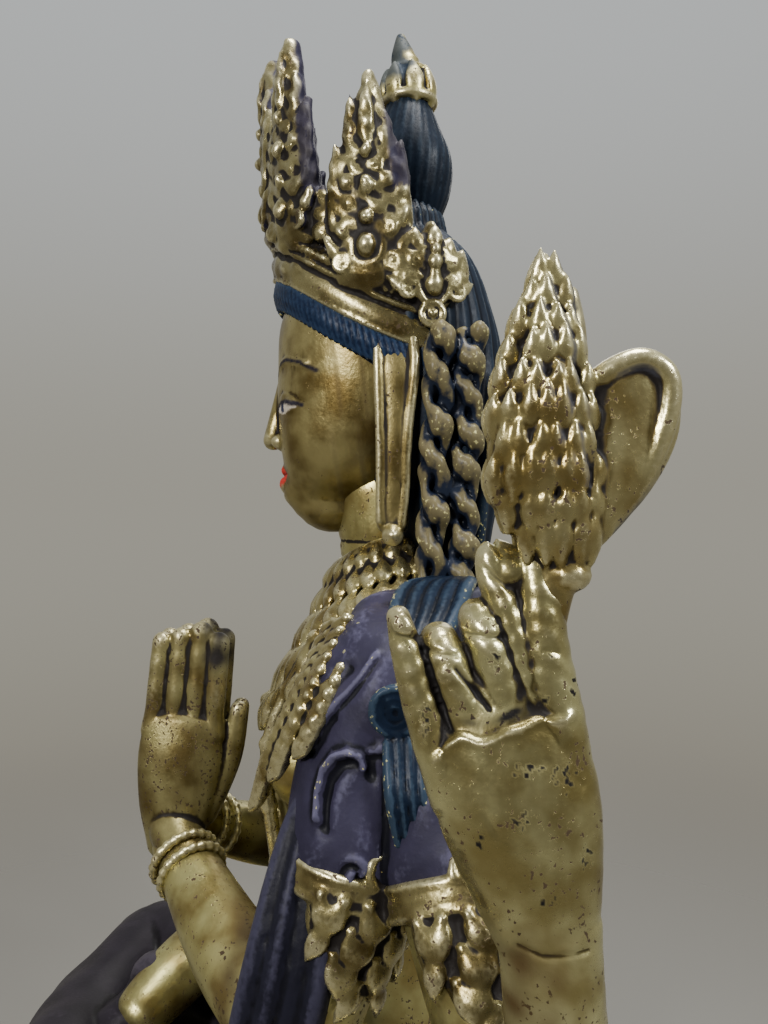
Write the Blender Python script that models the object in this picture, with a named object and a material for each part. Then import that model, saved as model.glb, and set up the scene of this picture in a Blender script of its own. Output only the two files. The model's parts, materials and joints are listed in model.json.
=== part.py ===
"""Small gilt and painted four-armed bodhisattva, cross-legged on a low lotus seat.

Metres, +Z up. The figure faces -Y, so its left side is at +X. The origin is the centre of the seat's
underside. The figure is a free form, so its places and thicknesses are in canon units, each a twelfth of the
face from hairline to chin, counted from the middle of the figure at the height of the seat it rests on.
"""

import math

import bmesh
import bpy
from mathutils import Matrix, Vector

# Driving sizes
FIGURE_HEIGHT = 0.192  # from the lotus seat to the tip of the jewel on the topknot
CANON_HEIGHT = 69.0  # that height in canon units
UNIT = FIGURE_HEIGHT / CANON_HEIGHT
FIGURE_BACK_SET = 0.0225  # from the seat's centre back to the figure's own axis
SEAT_HEIGHT = 0.028
SEAT_WIDTH = 0.146
SEAT_DEPTH = 0.110
SEAT_TABLE_INSET = 0.0042  # how far the table and the rim lie inside the widest petals
SEAT_CORE_INSET = 0.0085  # from the widest petals in to the waist between the two rows
SEAT_RIM = 0.0034  # height of the plain rim that the seat stands on
SEAT_LIP = 0.0020  # height of the edge of the table above the upper petals
PETALS = 18  # in each of the seat's two rows
SEAT_CLEARANCE = 0.0003  # between the figure and the seat under it

# How finely the surfaces are resolved
FIGURE_GRAIN = 0.0006
FIGURE_FACES = 7700
PETAL_FACETS = 6  # round each petal
PETAL_STEPS = 3  # up each petal

LEFT, RIGHT = 1, -1
UP = Vector((0, 0, 1))
FIGURE_GILT = ("figure_gilt", (0.60, 0.44, 0.17), 0.42, 0.85)
SEAT_GILT = ("seat_gilt", (0.55, 0.40, 0.15), 0.45, 0.85)


def clear_scene():
    for thing in list(bpy.data.objects):
        bpy.data.objects.remove(thing)


def smooth_rows(rows, steps):
    """A Catmull-Rom curve through rows of numbers, with this many steps between each two."""
    rows = [Vector(row) for row in rows]
    ends = [rows[0] * 2 - rows[1], *rows, rows[-1] * 2 - rows[-2]]
    curve = []
    for a, b, c, d in zip(ends, ends[1:], ends[2:], ends[3:]):
        for step in range(steps):
            t = step / steps
            bend = (2 * a - 5 * b + 4 * c - d) * t**2 + (3 * b - a - 3 * c + d) * t**3
            curve.append(0.5 * (2 * b + (c - a) * t + bend))
    return [*curve, rows[-1]]


def ring_frame(place, across, depth, along):
    """The matrix that lays a unit circle across a form."""
    return Matrix([*zip(across, depth, along, place), (0, 0, 0, 1)])


THINNEST = 1e-4  # half width of a form's narrowest end, in its own units


def add_to(bm, shape):
    """Moves a finished bmesh into bm."""
    mesh = bpy.data.meshes.new("shape")
    shape.to_mesh(mesh)
    shape.free()
    bm.from_mesh(mesh)
    bpy.data.meshes.remove(mesh)


def extrude_rings(shape, frames, sides):
    """A closed body through the unit circles that these matrices lay down."""
    start = bmesh.ops.create_circle(shape, cap_ends=True, segments=sides, radius=1, matrix=frames[0])
    first = cap = start["verts"][0].link_faces[0]
    for before, after in zip(frames, frames[1:]):
        grown = bmesh.ops.extrude_face_region(shape, geom=[cap])["geom"]
        if cap.is_valid and cap != first:
            shape.faces.remove(cap)
        moved = [item for item in grown if isinstance(item, bmesh.types.BMVert)]
        bmesh.ops.transform(shape, matrix=after @ before.inverted(), verts=moved)
        cap = next(item for item in grown if isinstance(item, bmesh.types.BMFace))


def form(bm, rows, side=(1, 0, 0), sides=12, steps=3, upright=False):
    """A closed round-ended body through rows of x, y, z, half width along side and half depth across it.

    Its cross-sections stand square to its run, or lie level where it is upright.
    """
    curve = smooth_rows(rows, steps)
    places = [Vector(row[:3]) for row in curve]
    last = len(curve) - 1
    rings = []
    for i, row in enumerate(curve):
        run = places[min(i + 1, last)] - places[max(i - 1, 0)]
        along = UP if upright else run.normalized()
        across = (Vector(side) - along * along.dot(Vector(side))).normalized()
        rings.append((places[i], across, along, max(row[3], THINNEST), max(row[4], THINNEST)))
    for end, turn in ((0, -1), (-1, 1)):
        place, across, along, width, depth = rings[end]
        for angle in (0.6, 1.1, 1.42):
            reach = along * turn * min(width, depth) * math.sin(angle)
            cap = (place + reach, across, along, width * math.cos(angle), depth * math.cos(angle))
            rings.insert(0 if end == 0 else len(rings), cap)
    frames = [ring_frame(place, across * width, along.cross(across) * depth, along)
              for place, across, along, width, depth in rings]
    shape = bmesh.new()
    extrude_rings(shape, frames, sides)
    add_to(bm, shape)


def mirrored(rows, hand):
    """Rows for the left side of the body, or for the right side as its mirror image."""
    return [(hand * row[0], *row[1:]) for row in rows]


def both_sides(bm, rows, side=(1, 0, 0), sides=12, steps=3):
    for hand in (LEFT, RIGHT):
        form(bm, mirrored(rows, hand), side, sides, steps)


def ball(bm, place, radii, sides=12):
    shape = bmesh.new()
    size = Matrix.Translation(Vector(place)) @ Matrix.Diagonal((*radii, 1))
    bmesh.ops.create_uvsphere(shape, u_segments=sides, v_segments=max(6, sides // 2), radius=1, matrix=size)
    add_to(bm, shape)


def hoop(bm, place, across, onward, thick, wide=None, sides=8, turns=24):
    """A closed ring about place, through its two half axes."""
    across, onward = Vector(across), Vector(onward)
    rows = []
    for i in range(turns + 2):
        angle = 2 * math.pi * i / turns
        point = Vector(place) + across * math.cos(angle) + onward * math.sin(angle)
        rows.append((*point, wide or thick, thick))
    form(bm, rows, across.cross(onward), sides, 1)


def leaf(bm, base, tip, face, width, thick, lift=0.0, sides=8, shape=(0.45, 0.9, 1.0, 0.72, 0.12)):
    """A flat pointed leaf from base to tip, bulging by lift towards the way it faces."""
    base, tip, face = Vector(base), Vector(tip), Vector(face).normalized()
    rows = []
    for i, share in enumerate(shape):
        t = i / (len(shape) - 1)
        point = base.lerp(tip, t) + face * lift * math.sin(math.pi * t)
        rows.append((*point, width * share, thick * (1 - 0.45 * t)))
    form(bm, rows, (tip - base).cross(face), sides, 2)


# Body
TORSO = [(0, 2.0, 1.5, 9.0, 6.6), (0, 1.6, 7, 8.2, 6.2), (0, 0.4, 12, 6.4, 5.0), (0, -0.1, 17, 5.9, 4.8),
         (0, -0.7, 23, 7.3, 5.4), (0, -0.9, 28, 8.7, 5.5), (0, 0.1, 32, 9.0, 4.7), (0, 0.8, 34.8, 6.4, 3.3),
         (0, 0.7, 36.8, 3.3, 2.8)]
NECK = [(0, 0.6, 35, 3.1, 3.0), (0, 0.3, 38, 2.8, 2.8), (0, 0.0, 42, 2.9, 3.0)]
HEAD = [(0, -3.0, 41.4, 1.9, 2.2), (0, -2.0, 42.8, 3.5, 3.7), (0, -1.2, 45, 4.6, 4.8),
        (0, -0.7, 48, 5.1, 5.5), (0, -0.2, 52, 5.3, 5.9), (0, 0.5, 55.5, 4.9, 5.4), (0, 1.2, 58, 3.0, 3.4)]
NOSE = [(0, -5.9, 47.8, 0.5, 0.4), (0, -6.2, 46.2, 0.55, 0.5), (0, -6.4, 44.9, 0.75, 0.6)]
BROW = [(0.7, -6.05, 47.9, 0.3, 0.3), (2.2, -5.75, 48.7, 0.3, 0.3), (3.9, -4.5, 48.3, 0.2, 0.2)]
EYE = [(0.9, -5.75, 46.6, 0.25, 0.3), (2.1, -5.45, 46.8, 0.55, 0.45), (3.4, -4.6, 46.9, 0.2, 0.25)]
UPPER_LIP, LOWER_LIP = ([(-1.3, -5.1, z, 0.2, 0.25), (0, -5.75, z, thick, 0.4), (1.3, -5.1, z, 0.2, 0.25)]
                        for z, thick in ((43.0, 0.28), (42.35, 0.36)))
CHIN = ((0, -4.5, 41.1), (1.3, 1.1, 1.0))
EAR = [(5.0, 0.7, 49.8, 0.45, 1.1), (5.5, 0.8, 47.5, 0.55, 1.3), (5.5, 0.7, 44, 0.5, 0.9),
       (5.3, 0.5, 40.4, 0.55, 0.9)]


def body(bm):
    form(bm, TORSO, sides=24, upright=True)
    form(bm, NECK, sides=16)
    form(bm, HEAD, sides=24, upright=True)
    form(bm, NOSE)
    for lip in (UPPER_LIP, LOWER_LIP):
        form(bm, lip, side=(0, 0, 1))
    ball(bm, *CHIN)
    for rows in (BROW, EYE):
        both_sides(bm, rows, side=(0, 0, 1), sides=8)
    both_sides(bm, EAR)
    for hand in (LEFT, RIGHT):
        ball(bm, (hand * 9.4, 0.6, 32.4), (3.3, 3.3, 3.2))


# Legs, crossed with both soles turned up
THIGH = [(6.0, 2.5, 5.6, 5.6, 5.2), (12.4, -7.5, 5.4, 5.1, 5.0), (18.4, -17.4, 4.6, 4.4, 4.4)]
UPPER_SHIN = [(-18.4, -18.2, 4.4, 4.3, 4.2), (-9.5, -20.6, 5.0, 3.3, 3.2), (0.5, -19.8, 6.6, 2.9, 2.8),
              (6.2, -16.2, 7.8, 2.1, 1.9)]
LOWER_SHIN = [(18.4, -18.2, 4.4, 4.3, 4.2), (10.0, -21.8, 3.9, 3.5, 3.4), (1.0, -21.4, 3.6, 3.0, 2.9),
              (-6.5, -16.5, 6.6, 2.1, 1.9)]
FOOT = [(4.8, -16.6, 8.0, 1.9, 1.6), (8.2, -14.2, 9.4, 2.3, 1.5), (11.5, -11.9, 9.9, 2.4, 1.2),
        (13.6, -10.4, 9.8, 2.0, 0.9)]
TOES = 5


def legs(bm):
    both_sides(bm, THIGH, sides=18)
    form(bm, UPPER_SHIN, side=(0, 0, 1), sides=16)
    form(bm, LOWER_SHIN, side=(0, 0, 1), sides=16)
    for hand in (LEFT, RIGHT):
        form(bm, mirrored(FOOT, hand), side=(0.55 * hand, 0.83, 0))
        for toe in range(TOES):
            t = toe / (TOES - 1) - 0.5
            place = (hand * (14.9 + 1.4 * t), -9.6 + 2.9 * t, 9.7)
            ball(bm, place, (0.75, 0.75, 0.65), 8)


# Arms. The front pair meets in prayer before the breast, the back pair is raised beside the shoulders.
FRONT_UPPER_ARM = [(9.8, 0.2, 32.0, 3.0, 3.0), (11.9, -1.4, 25, 2.8, 2.7), (12.4, -3.6, 17.4, 2.3, 2.2)]
FRONT_FOREARM = [(12.4, -3.6, 17.4, 2.3, 2.3), (7.4, -7.6, 18.9, 2.1, 2.1), (1.9, -11.6, 21.8, 1.4, 1.5)]
BACK_UPPER_ARM = [(10.2, 1.6, 32.0, 3.0, 2.9), (14.4, 3.4, 24, 2.8, 2.6), (18.7, 6.3, 14.6, 2.3, 2.2)]
BACK_FOREARM = [(18.7, 6.3, 14.6, 2.4, 2.3), (20.4, 6.4, 20.5, 2.3, 2.2), (21.0, 5.5, 27.0, 1.7, 1.6)]


def arms(bm):
    for rows in (FRONT_UPPER_ARM, BACK_UPPER_ARM, BACK_FOREARM):
        both_sides(bm, rows, sides=14)
    both_sides(bm, FRONT_FOREARM, side=(0, 0, 1), sides=14)


# Hands are built along their own axes: x towards the thumb, y out of the back, z from wrist to fingertips
PALM = [(0, 0, -0.6, 1.55, 1.25), (0, 0.1, 1.6, 2.15, 1.4), (0, 0.1, 4.2, 2.45, 1.25),
        (0, 0.0, 6.1, 2.3, 0.95)]
FINGERS = (  # place of the knuckle towards the thumb, length, half thickness, from the little finger on
    (-1.80, 5.1, 0.50), (-0.62, 5.4, 0.55), (0.58, 5.8, 0.57), (1.72, 5.3, 0.55))
KNUCKLE_HEIGHT = 5.7
JOINTS = (0.46, 0.31, 0.23)  # shares of a finger's length
PRAYING_PLUMP, RAISED_PLUMP = 1.14, 1.12  # how much thicker the fingers are in each pose


def finger(bm, root, length, thick, spread, bends):
    """A finger from its knuckle. Each bend turns the next joint towards the palm."""
    angle = 0.0
    point = Vector(root)
    rows = [(*point, thick * 1.05, thick * 1.05)]
    for share, bend in zip(JOINTS, bends):
        angle += math.radians(bend)
        point = point + length * share * Vector((
            math.sin(math.radians(spread)) * math.cos(angle), -math.sin(angle), math.cos(angle)))
        rows.append((*point, thick * (1 - 0.25 * share), thick * 0.95))
    form(bm, rows, sides=8)


def hand(bm, frame, spreads, bends, thumb, plump=1.0):
    """frame holds the hand's three axes and its wrist."""
    shape = bmesh.new()
    form(shape, PALM, sides=14)
    for (across, length, thick), spread, bend in zip(FINGERS, spreads, bends):
        finger(shape, (across, 0, KNUCKLE_HEIGHT), length, thick * plump, spread, bend)
    form(shape, thumb, sides=8)
    bmesh.ops.transform(shape, matrix=frame, verts=shape.verts)
    add_to(bm, shape)


def praying_hand(bm, side):
    wrist = Vector((side * 0.95, -12.1, 22.3))
    along = Vector((0, 0.09, 1)).normalized()
    thumbward = Vector((0, 1, -0.09)).normalized()
    frame = ring_frame(wrist, thumbward, Vector((side * 0.85, 0, 0)), along)
    straight = (0, 2, 1)
    thumb = [(1.6, -0.3, 1.4, 0.8, 0.8), (2.7, -0.5, 4.2, 0.7, 0.7), (3.0, -0.6, 7.2, 0.5, 0.5)]
    hand(bm, frame, (2.5, 0.8, -0.8, -2.5), (straight,) * 4, thumb, PRAYING_PLUMP)


def raised_hand(bm, side):
    """The little finger stands, the next two fold away, and the forefinger meets the thumb."""
    wrist = Vector((side * 21.0, 5.4, 27.0))
    along = Vector((0, -0.24, 1)).normalized()
    thumbward = Vector((0, 1, 0.24)).normalized()
    frame = ring_frame(wrist, thumbward, Vector((side, 0, 0)), along)
    bends = ((4, 4, 2), (28, 70, 60), (26, 64, 60), (8, 22, 55))
    thumb = [(1.1, -0.6, 1.6, 1.0, 1.0), (1.6, -1.0, 5.2, 0.85, 0.8), (1.2, -1.1, 8.8, 0.65, 0.65)]
    hand(bm, frame, (-11, -3, -1, -2), bends, thumb, RAISED_PLUMP)


# The lotus in the raised left hand: a stem, a tall bud of overlapping petals and one broad leaf curling back
STEM = [(20.6, 5.4, 34.0, 0.7, 0.7), (20.8, 5.3, 36.5, 0.75, 0.7), (21.0, 6.1, 39.5, 0.9, 0.8)]
BUD = [(21.0, 5.8, 39.4, 1.2, 0.8), (21.0, 5.6, 42.0, 2.1, 1.1), (21.0, 5.4, 44.6, 1.9, 1.0),
       (21.0, 5.5, 46.8, 1.1, 0.8)]
BUD_TIPS = ([(21.1, 5.1, 45.6, 1.0, 0.7), (21.1, 5.1, 47.8, 0.7, 0.5), (21.0, 5.3, 49.3, 0.3, 0.3)],
            [(20.7, 5.9, 45.4, 0.9, 0.6), (20.7, 6.1, 46.9, 0.6, 0.5), (20.7, 6.1, 48.0, 0.3, 0.3)])
BROAD_LEAF = [(21.0, 6.3, 40.3, 0.9, 0.7), (21.0, 7.6, 42.6, 1.7, 0.6), (21.0, 8.5, 44.6, 1.6, 0.6),
              (21.0, 8.9, 45.6, 0.8, 0.5)]
PETAL_ROWS = ((40.8, 2), (42.6, 3), (44.4, 3), (46.2, 2))  # height of each row, and its number of petals
BEADS = 26


def lotus(bm):
    for rows in (STEM, BUD, *BUD_TIPS, BROAD_LEAF):
        form(bm, rows, side=(0, 1, 0))
    for height, count in PETAL_ROWS:
        for i in range(count):
            across = 0.2 + (i - (count - 1) / 2) * 1.3
            for face in (LEFT, RIGHT):
                base = (21 + 0.55 * face, 5.2 + across, height - 0.9)
                tip = (21 + 0.95 * face, 5.2 + across * 0.95, height + 1.1)
                leaf(bm, base, tip, (face, 0, 0), 0.75, 0.4, 0.25, 6)


def rosary(bm):
    """The string of beads that hangs over the raised right hand, cast with it and lying on the forearm."""
    for i in range(BEADS):
        angle = 2 * math.pi * i / BEADS
        sag = 1 - math.cos(angle)
        place = (-22.3 - 0.12 * math.sin(angle), 5.0 + 2.1 * math.sin(angle), 33.4 - 4.6 * sag)
        ball(bm, place, (0.55, 0.55, 0.55), 8)


# Hair, drawn up into a high knot, with locks that fall behind the ears
HAIR = [(0, 3.4, 37.5, 4.4, 2.0), (0, 2.4, 43, 5.2, 3.7), (0, 1.6, 49, 5.7, 5.3), (0, 1.2, 53.5, 5.2, 4.6),
        (0, 1.6, 57, 2.9, 2.6)]
TOPKNOT = [(0, 1.6, 55.5, 2.6, 2.3), (0, 2.0, 57.4, 1.3, 1.2), (0, 1.9, 59.4, 2.1, 2.1),
           (0, 1.7, 61.6, 2.2, 2.2), (0, 1.6, 63.4, 1.3, 1.3)]
JEWEL = [(0, 1.6, 63.8, 0.8, 0.8), (0, 1.5, 65.4, 1.4, 1.4), (0, 1.2, 67.2, 0.8, 0.8),
         (0, 1.0, 68.6, 0.3, 0.3)]
LOCKS = ((5.6, 2.6), (5.4, 4.3))  # across and behind, of each falling lock
LOCK_TOP, LOCK_FOOT, LOCK_TURNS = 49.5, 37.2, 6
SHOULDER_CURL = (10.6, 0.2, 33.0)


def hair(bm):
    form(bm, HAIR, sides=20, upright=True)
    form(bm, TOPKNOT, sides=14, upright=True)
    form(bm, JEWEL)
    for hand in (LEFT, RIGHT):
        for across, behind in LOCKS:
            rows = []
            for i in range(2 * LOCK_TURNS + 1):
                t = i / (2 * LOCK_TURNS)
                swell = 0.62 + 0.22 * (i % 2)
                height = LOCK_TOP + (LOCK_FOOT - LOCK_TOP) * t
                rows.append((hand * across, behind - 0.5 * t, height, swell, swell))
            form(bm, rows, sides=8, steps=1)
        x, y, z = SHOULDER_CURL
        form(bm, [(hand * (x + 1.4), y, z, 1.7, 1.7), (hand * (x + 2.1), y, z, 1.5, 1.5)], side=(0, 1, 0))
        for strand in range(3):
            behind = y - 0.9 + 0.9 * strand
            form(bm, [(hand * (x + 1.9), behind, z - 1, 0.5, 0.5),
                      (hand * (x + 2.3), behind + 0.2, z - 4, 0.5, 0.5),
                      (hand * (x + 2.6), behind + 0.6, z - 7, 0.25, 0.25)], sides=6)


# Crown of five tall leaves on a band that dips behind the ears
LEAVES = (  # turn from the front in degrees, height of tip, half width
    (0, 66.9, 2.3), (37, 65.4, 2.1), (80, 62.9, 2.0))


def crown_point(angle, out=0.0, height=0.0):
    """A place on the crown's band, this many degrees round from the front."""
    turn = math.radians(angle)
    lift = 0.5 + 0.5 * math.cos(turn * 1.5)
    return Vector(((5.4 + out) * math.sin(turn), 0.4 - (6.4 + out) * math.cos(turn),
                   51.0 + 4.6 * lift + height))


def crown(bm):
    for height, thick in ((-0.6, 0.75), (0.9, 0.6)):
        rows = [(*crown_point(angle, 0.1, height), thick * 1.1, thick * 0.7)
                for angle in range(-110, 111, 10)]
        form(bm, rows, side=(0, 0, 1), sides=8, steps=1)
    for angle, tip, width in LEAVES:
        for hand in ((LEFT, RIGHT) if angle else (LEFT,)):
            base = crown_point(hand * angle, 0.2, 0.4)
            top = crown_point(hand * angle, 0.7, 0)
            top.z = tip
            face = Vector((math.sin(math.radians(hand * angle)), -math.cos(math.radians(angle)), 0))
            leaf(bm, base, top, face, width, 0.6, 0.2, 10, (0.9, 1.0, 0.95, 0.6, 0.3, 0.08))
            for lobe in (-1, 1):
                out = face.cross(Vector((0, 0, 1))) * lobe
                low, high = base.lerp(top, 0.15) + out * 0.9, base.lerp(top, 0.62) + out * 1.9
                leaf(bm, low, high, face, 0.9, 0.5, 0.2, 6)
    for hand in (LEFT, RIGHT):
        for i in range(4):
            tip = Vector((hand * 6.6, 2.6 + 0.6 * i, 55.6 - 1.2 * i))
            leaf(bm, (hand * 5.9, 1.6, 51.2), tip, (hand, 0.2, 0), 0.8, 0.5, 0.3, 6)


# Jewels: a broad collar of leaves, a long garland, armlets, doubled bracelets at the joined wrists and a belt
COLLAR = ((0, -0.6, 34.7), (4.9, 0, 0), (0, -5.5, -2.6))  # middle and half axes
COLLAR_LEAVES, COLLAR_LEAF_TURN = 5, 15  # on each side of the middle one, and degrees from one to the next
GARLAND = [(5.0, -3.4, 34.0, 0.5, 0.4), (5.2, -6.0, 28.5, 0.5, 0.4), (4.4, -5.6, 22.0, 0.5, 0.4),
           (2.4, -5.2, 17.0, 0.5, 0.4), (0, -5.0, 15.2, 0.6, 0.5)]
ARMLETS = (  # middle, along the arm, radius, side of the crest
    ((13.9, 3.2, 24.8), (4.2, 1.8, -9.4), 3.0, (0.75, 0.25, 0.3)),
    ((11.9, -1.6, 24.2), (0.6, -1.9, -7.6), 2.95, (1, -0.1, 0)))
BRACELETS = ((3.4, -10.5, 21.0), (2.7, -11.1, 21.4))
BRACELET_RADIUS = 1.7
FOREARM_RUN = (-5.5, -4.0, 2.9)
BELT = ((0, 0.6, 10.2), (7.3, 0, 0), (0, 5.6, 0))


def band_round(bm, middle, along, radius, thick, wide):
    """A band round a limb that runs along."""
    along = Vector(along).normalized()
    across = along.cross(UP if abs(along.z) < 0.8 else Vector((0, 1, 0))).normalized()
    hoop(bm, middle, across * radius, along.cross(across) * radius, thick, wide)


def jewels(bm):
    hoop(bm, *COLLAR, 0.6, 1.0)
    middle, across, front = (Vector(part) for part in COLLAR)
    for i in range(-COLLAR_LEAVES, COLLAR_LEAVES + 1):
        turn = math.radians(i * COLLAR_LEAF_TURN)
        out = Vector((math.sin(turn), -math.cos(turn), 0))
        base = middle + across * math.sin(turn) + front * math.cos(turn)
        leaf(bm, base, base + out * 1.2 - UP * (2.0 + 0.9 * math.cos(turn)), out + UP * 0.3, 0.8, 0.5, 0.2, 6)
    both_sides(bm, GARLAND, sides=8)
    for hand in (LEFT, RIGHT):
        for middle, along, radius, crest in ARMLETS:
            middle, along, crest = (Vector((hand * part[0], *part[1:])) for part in (middle, along, crest))
            band_round(bm, middle, along, radius, 0.45, 0.7)
            root = middle + crest * radius
            for slant in (-0.8, 0, 0.8):
                aside = crest.cross(along).normalized() * slant
                leaf(bm, root + along.normalized() * 0.6, root - along.normalized() * 2.4 + aside * 1.6,
                     crest, 0.8, 0.5, 0.3, 6)
        for place in BRACELETS:
            middle, along = (Vector((hand * part[0], *part[1:])) for part in (place, FOREARM_RUN))
            band_round(bm, middle, along, BRACELET_RADIUS, 0.3, 0.35)
    hoop(bm, *BELT, 0.6, 0.9)


# Drapery
SCARF = [(4.8, 3.6, 36.2, 2.0, 0.7), (9.4, 1.2, 35.2, 2.6, 0.8), (13.0, -1.6, 29.5, 2.0, 0.7),
         (13.9, -4.6, 22.5, 1.8, 0.7), (13.8, -6.2, 17.0, 1.7, 0.8), (14.2, -5.6, 11.5, 1.6, 0.8)]
SCARF_TAIL = [(14.0, -5.4, 12.2, 1.5, 0.9), (15.8, -3.4, 9.8, 1.8, 0.9), (17.4, -0.4, 6.2, 2.0, 0.9),
              (19.6, 1.8, 3.2, 2.3, 0.9), (20.4, 3.4, 0.9, 2.8, 0.9)]
HEM_PLEATS = 7


def drapery(bm):
    both_sides(bm, SCARF, side=(0.2, 1, 0), sides=10)
    both_sides(bm, SCARF_TAIL, side=(0.6, -0.5, 0.4), sides=10)
    for i in range(HEM_PLEATS):
        t = 2 * i / (HEM_PLEATS - 1) - 1
        rows = [(2.0 * t, -20.5, 3.0, 0.9, 0.7), (4.5 * t, -23.6 + 0.6 * abs(t), 1.6, 1.0, 0.6),
                (7.0 * t, -25.0 + 1.4 * abs(t), 0.5, 1.35, 0.5)]
        form(bm, rows, sides=8)


def solid_material(name, colour, roughness, metallic):
    material = bpy.data.materials.new(name)
    material.use_nodes = True
    shader = material.node_tree.nodes["Principled BSDF"]
    shader.inputs["Base Color"].default_value = (*colour, 1)
    shader.inputs["Roughness"].default_value = roughness
    shader.inputs["Metallic"].default_value = metallic
    return material


def evaluated_mesh(thing):
    return bpy.data.meshes.new_from_object(thing.evaluated_get(bpy.context.evaluated_depsgraph_get()))


def finish_mesh(mesh, finish):
    mesh.shade_smooth()
    mesh.set_sharp_from_angle(angle=math.radians(50))
    mesh.materials.append(solid_material(*finish))


def shells_of(bm):
    """The vertices of each separate shell, largest first."""
    left = set(bm.verts)
    shells = []
    while left:
        shell = {left.pop()}
        edge_of_shell = list(shell)
        while edge_of_shell:
            vert = edge_of_shell.pop()
            fresh = {edge.other_vert(vert) for edge in vert.link_edges} - shell
            shell |= fresh
            edge_of_shell += fresh
        left -= shell
        shells.append(shell)
    return sorted(shells, key=len, reverse=True)


def cast(name, bm, grain, faces, floor, finish):
    """Fuses the overlapping forms of bm into one body of about so many faces, cut flat at its floor."""
    bmesh.ops.recalc_face_normals(bm, faces=bm.faces)
    mesh = bpy.data.meshes.new(name)
    bm.to_mesh(mesh)
    bm.free()
    thing = bpy.data.objects.new(name, mesh)
    bpy.context.scene.collection.objects.link(thing)
    fuse = thing.modifiers.new("fuse", "REMESH")
    fuse.mode = "VOXEL"
    fuse.voxel_size = grain
    thin = thing.modifiers.new("thin", "DECIMATE")
    thin.use_collapse_triangulate = True
    thin.show_viewport = thin.show_render = False
    fused = evaluated_mesh(thing)
    thin.ratio = faces / (2 * len(fused.polygons))
    thin.show_viewport = thin.show_render = True
    finished = evaluated_mesh(thing)
    thing.modifiers.clear()
    thing.data = finished
    bm = bmesh.new()
    bm.from_mesh(finished)
    for pocket in shells_of(bm)[1:]:  # sealed in where forms meet, and filled in the cast
        bmesh.ops.delete(bm, geom=sorted(pocket, key=lambda vert: vert.index), context="VERTS")
    cut = bmesh.ops.bisect_plane(bm, geom=[*bm.verts, *bm.edges, *bm.faces], dist=grain / 100,
                                 plane_co=(0, 0, floor), plane_no=(0, 0, -1), clear_outer=True)
    rim = [item for item in cut["geom_cut"] if isinstance(item, bmesh.types.BMEdge)]
    bmesh.ops.edgeloop_fill(bm, edges=rim)
    bmesh.ops.triangulate(bm, faces=bm.faces)
    bmesh.ops.recalc_face_normals(bm, faces=bm.faces)
    bm.to_mesh(finished)
    bm.free()
    finish_mesh(finished, finish)


def figure():
    bm = bmesh.new()
    for build in (body, legs, arms, lotus, rosary, hair, crown, jewels, drapery):
        build(bm)
    for side in (LEFT, RIGHT):
        praying_hand(bm, side)
        raised_hand(bm, side)
    floor = SEAT_HEIGHT + SEAT_CLEARANCE
    place = Matrix.Translation((0, FIGURE_BACK_SET, floor)) @ Matrix.Scale(UNIT, 4)
    bmesh.ops.transform(bm, matrix=place, verts=bm.verts)
    cast("figure", bm, FIGURE_GRAIN, FIGURE_FACES, floor, FIGURE_GILT)


def petal_cover(rise, aside):
    """How far the petals stand out, 0 to 1, at this share of their height and of the way to the next one."""
    edge = 1 - 0.9 * rise**2
    front, behind = (max(0.0, 1 - (place / edge) ** 3) ** 0.5 for place in (abs(aside), 1 - abs(aside)))
    return max(front, 0.5 * behind) * math.sin(math.pi * (0.14 + 0.52 * rise))


def lotus_seat():
    """Two rows of petals, one turned up and one down, round a waist between a flat table and a rim."""
    waist = SEAT_RIM + (SEAT_HEIGHT - SEAT_RIM) / 2
    reach = (SEAT_HEIGHT - SEAT_RIM) / 2
    levels = [(0, None), (SEAT_RIM, None)]
    levels += [(waist - reach * (1 - i / PETAL_STEPS), 1 - i / PETAL_STEPS) for i in range(PETAL_STEPS)]
    levels += [(waist + reach * i / PETAL_STEPS, i / PETAL_STEPS) for i in range(PETAL_STEPS)]
    levels += [(SEAT_HEIGHT - SEAT_LIP, 1), (SEAT_HEIGHT, None)]
    segments = PETALS * PETAL_FACETS
    frames = [Matrix.Translation((0, 0, height)) for height, rise in levels]
    bm = bmesh.new()
    extrude_rings(bm, frames, segments)
    for vert in bm.verts:
        height, rise = min(levels, key=lambda level: abs(level[0] - vert.co.z))
        angle = math.atan2(vert.co.x, -vert.co.y)
        upper = height >= waist
        aside = (angle * PETALS / (2 * math.pi) + (0 if upper else 0.5) + 0.5) % 1 * 2 - 1
        inset = SEAT_TABLE_INSET if rise is None else SEAT_CORE_INSET * (1 - petal_cover(rise, aside))
        if rise == 1:
            inset = min(inset, SEAT_TABLE_INSET)
        vert.co.x = (SEAT_WIDTH / 2 - inset) * math.sin(angle)
        vert.co.y = -(SEAT_DEPTH / 2 - inset) * math.cos(angle)
    bmesh.ops.triangulate(bm, faces=bm.faces)
    bmesh.ops.recalc_face_normals(bm, faces=bm.faces)
    mesh = bpy.data.meshes.new("lotus_seat")
    bm.to_mesh(mesh)
    bm.free()
    finish_mesh(mesh, SEAT_GILT)
    bpy.context.scene.collection.objects.link(bpy.data.objects.new("lotus_seat", mesh))


clear_scene()
figure()
lotus_seat()
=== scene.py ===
import json
import math

import bmesh
import bpy
import numpy as np
from mathutils import Matrix, Vector

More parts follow.
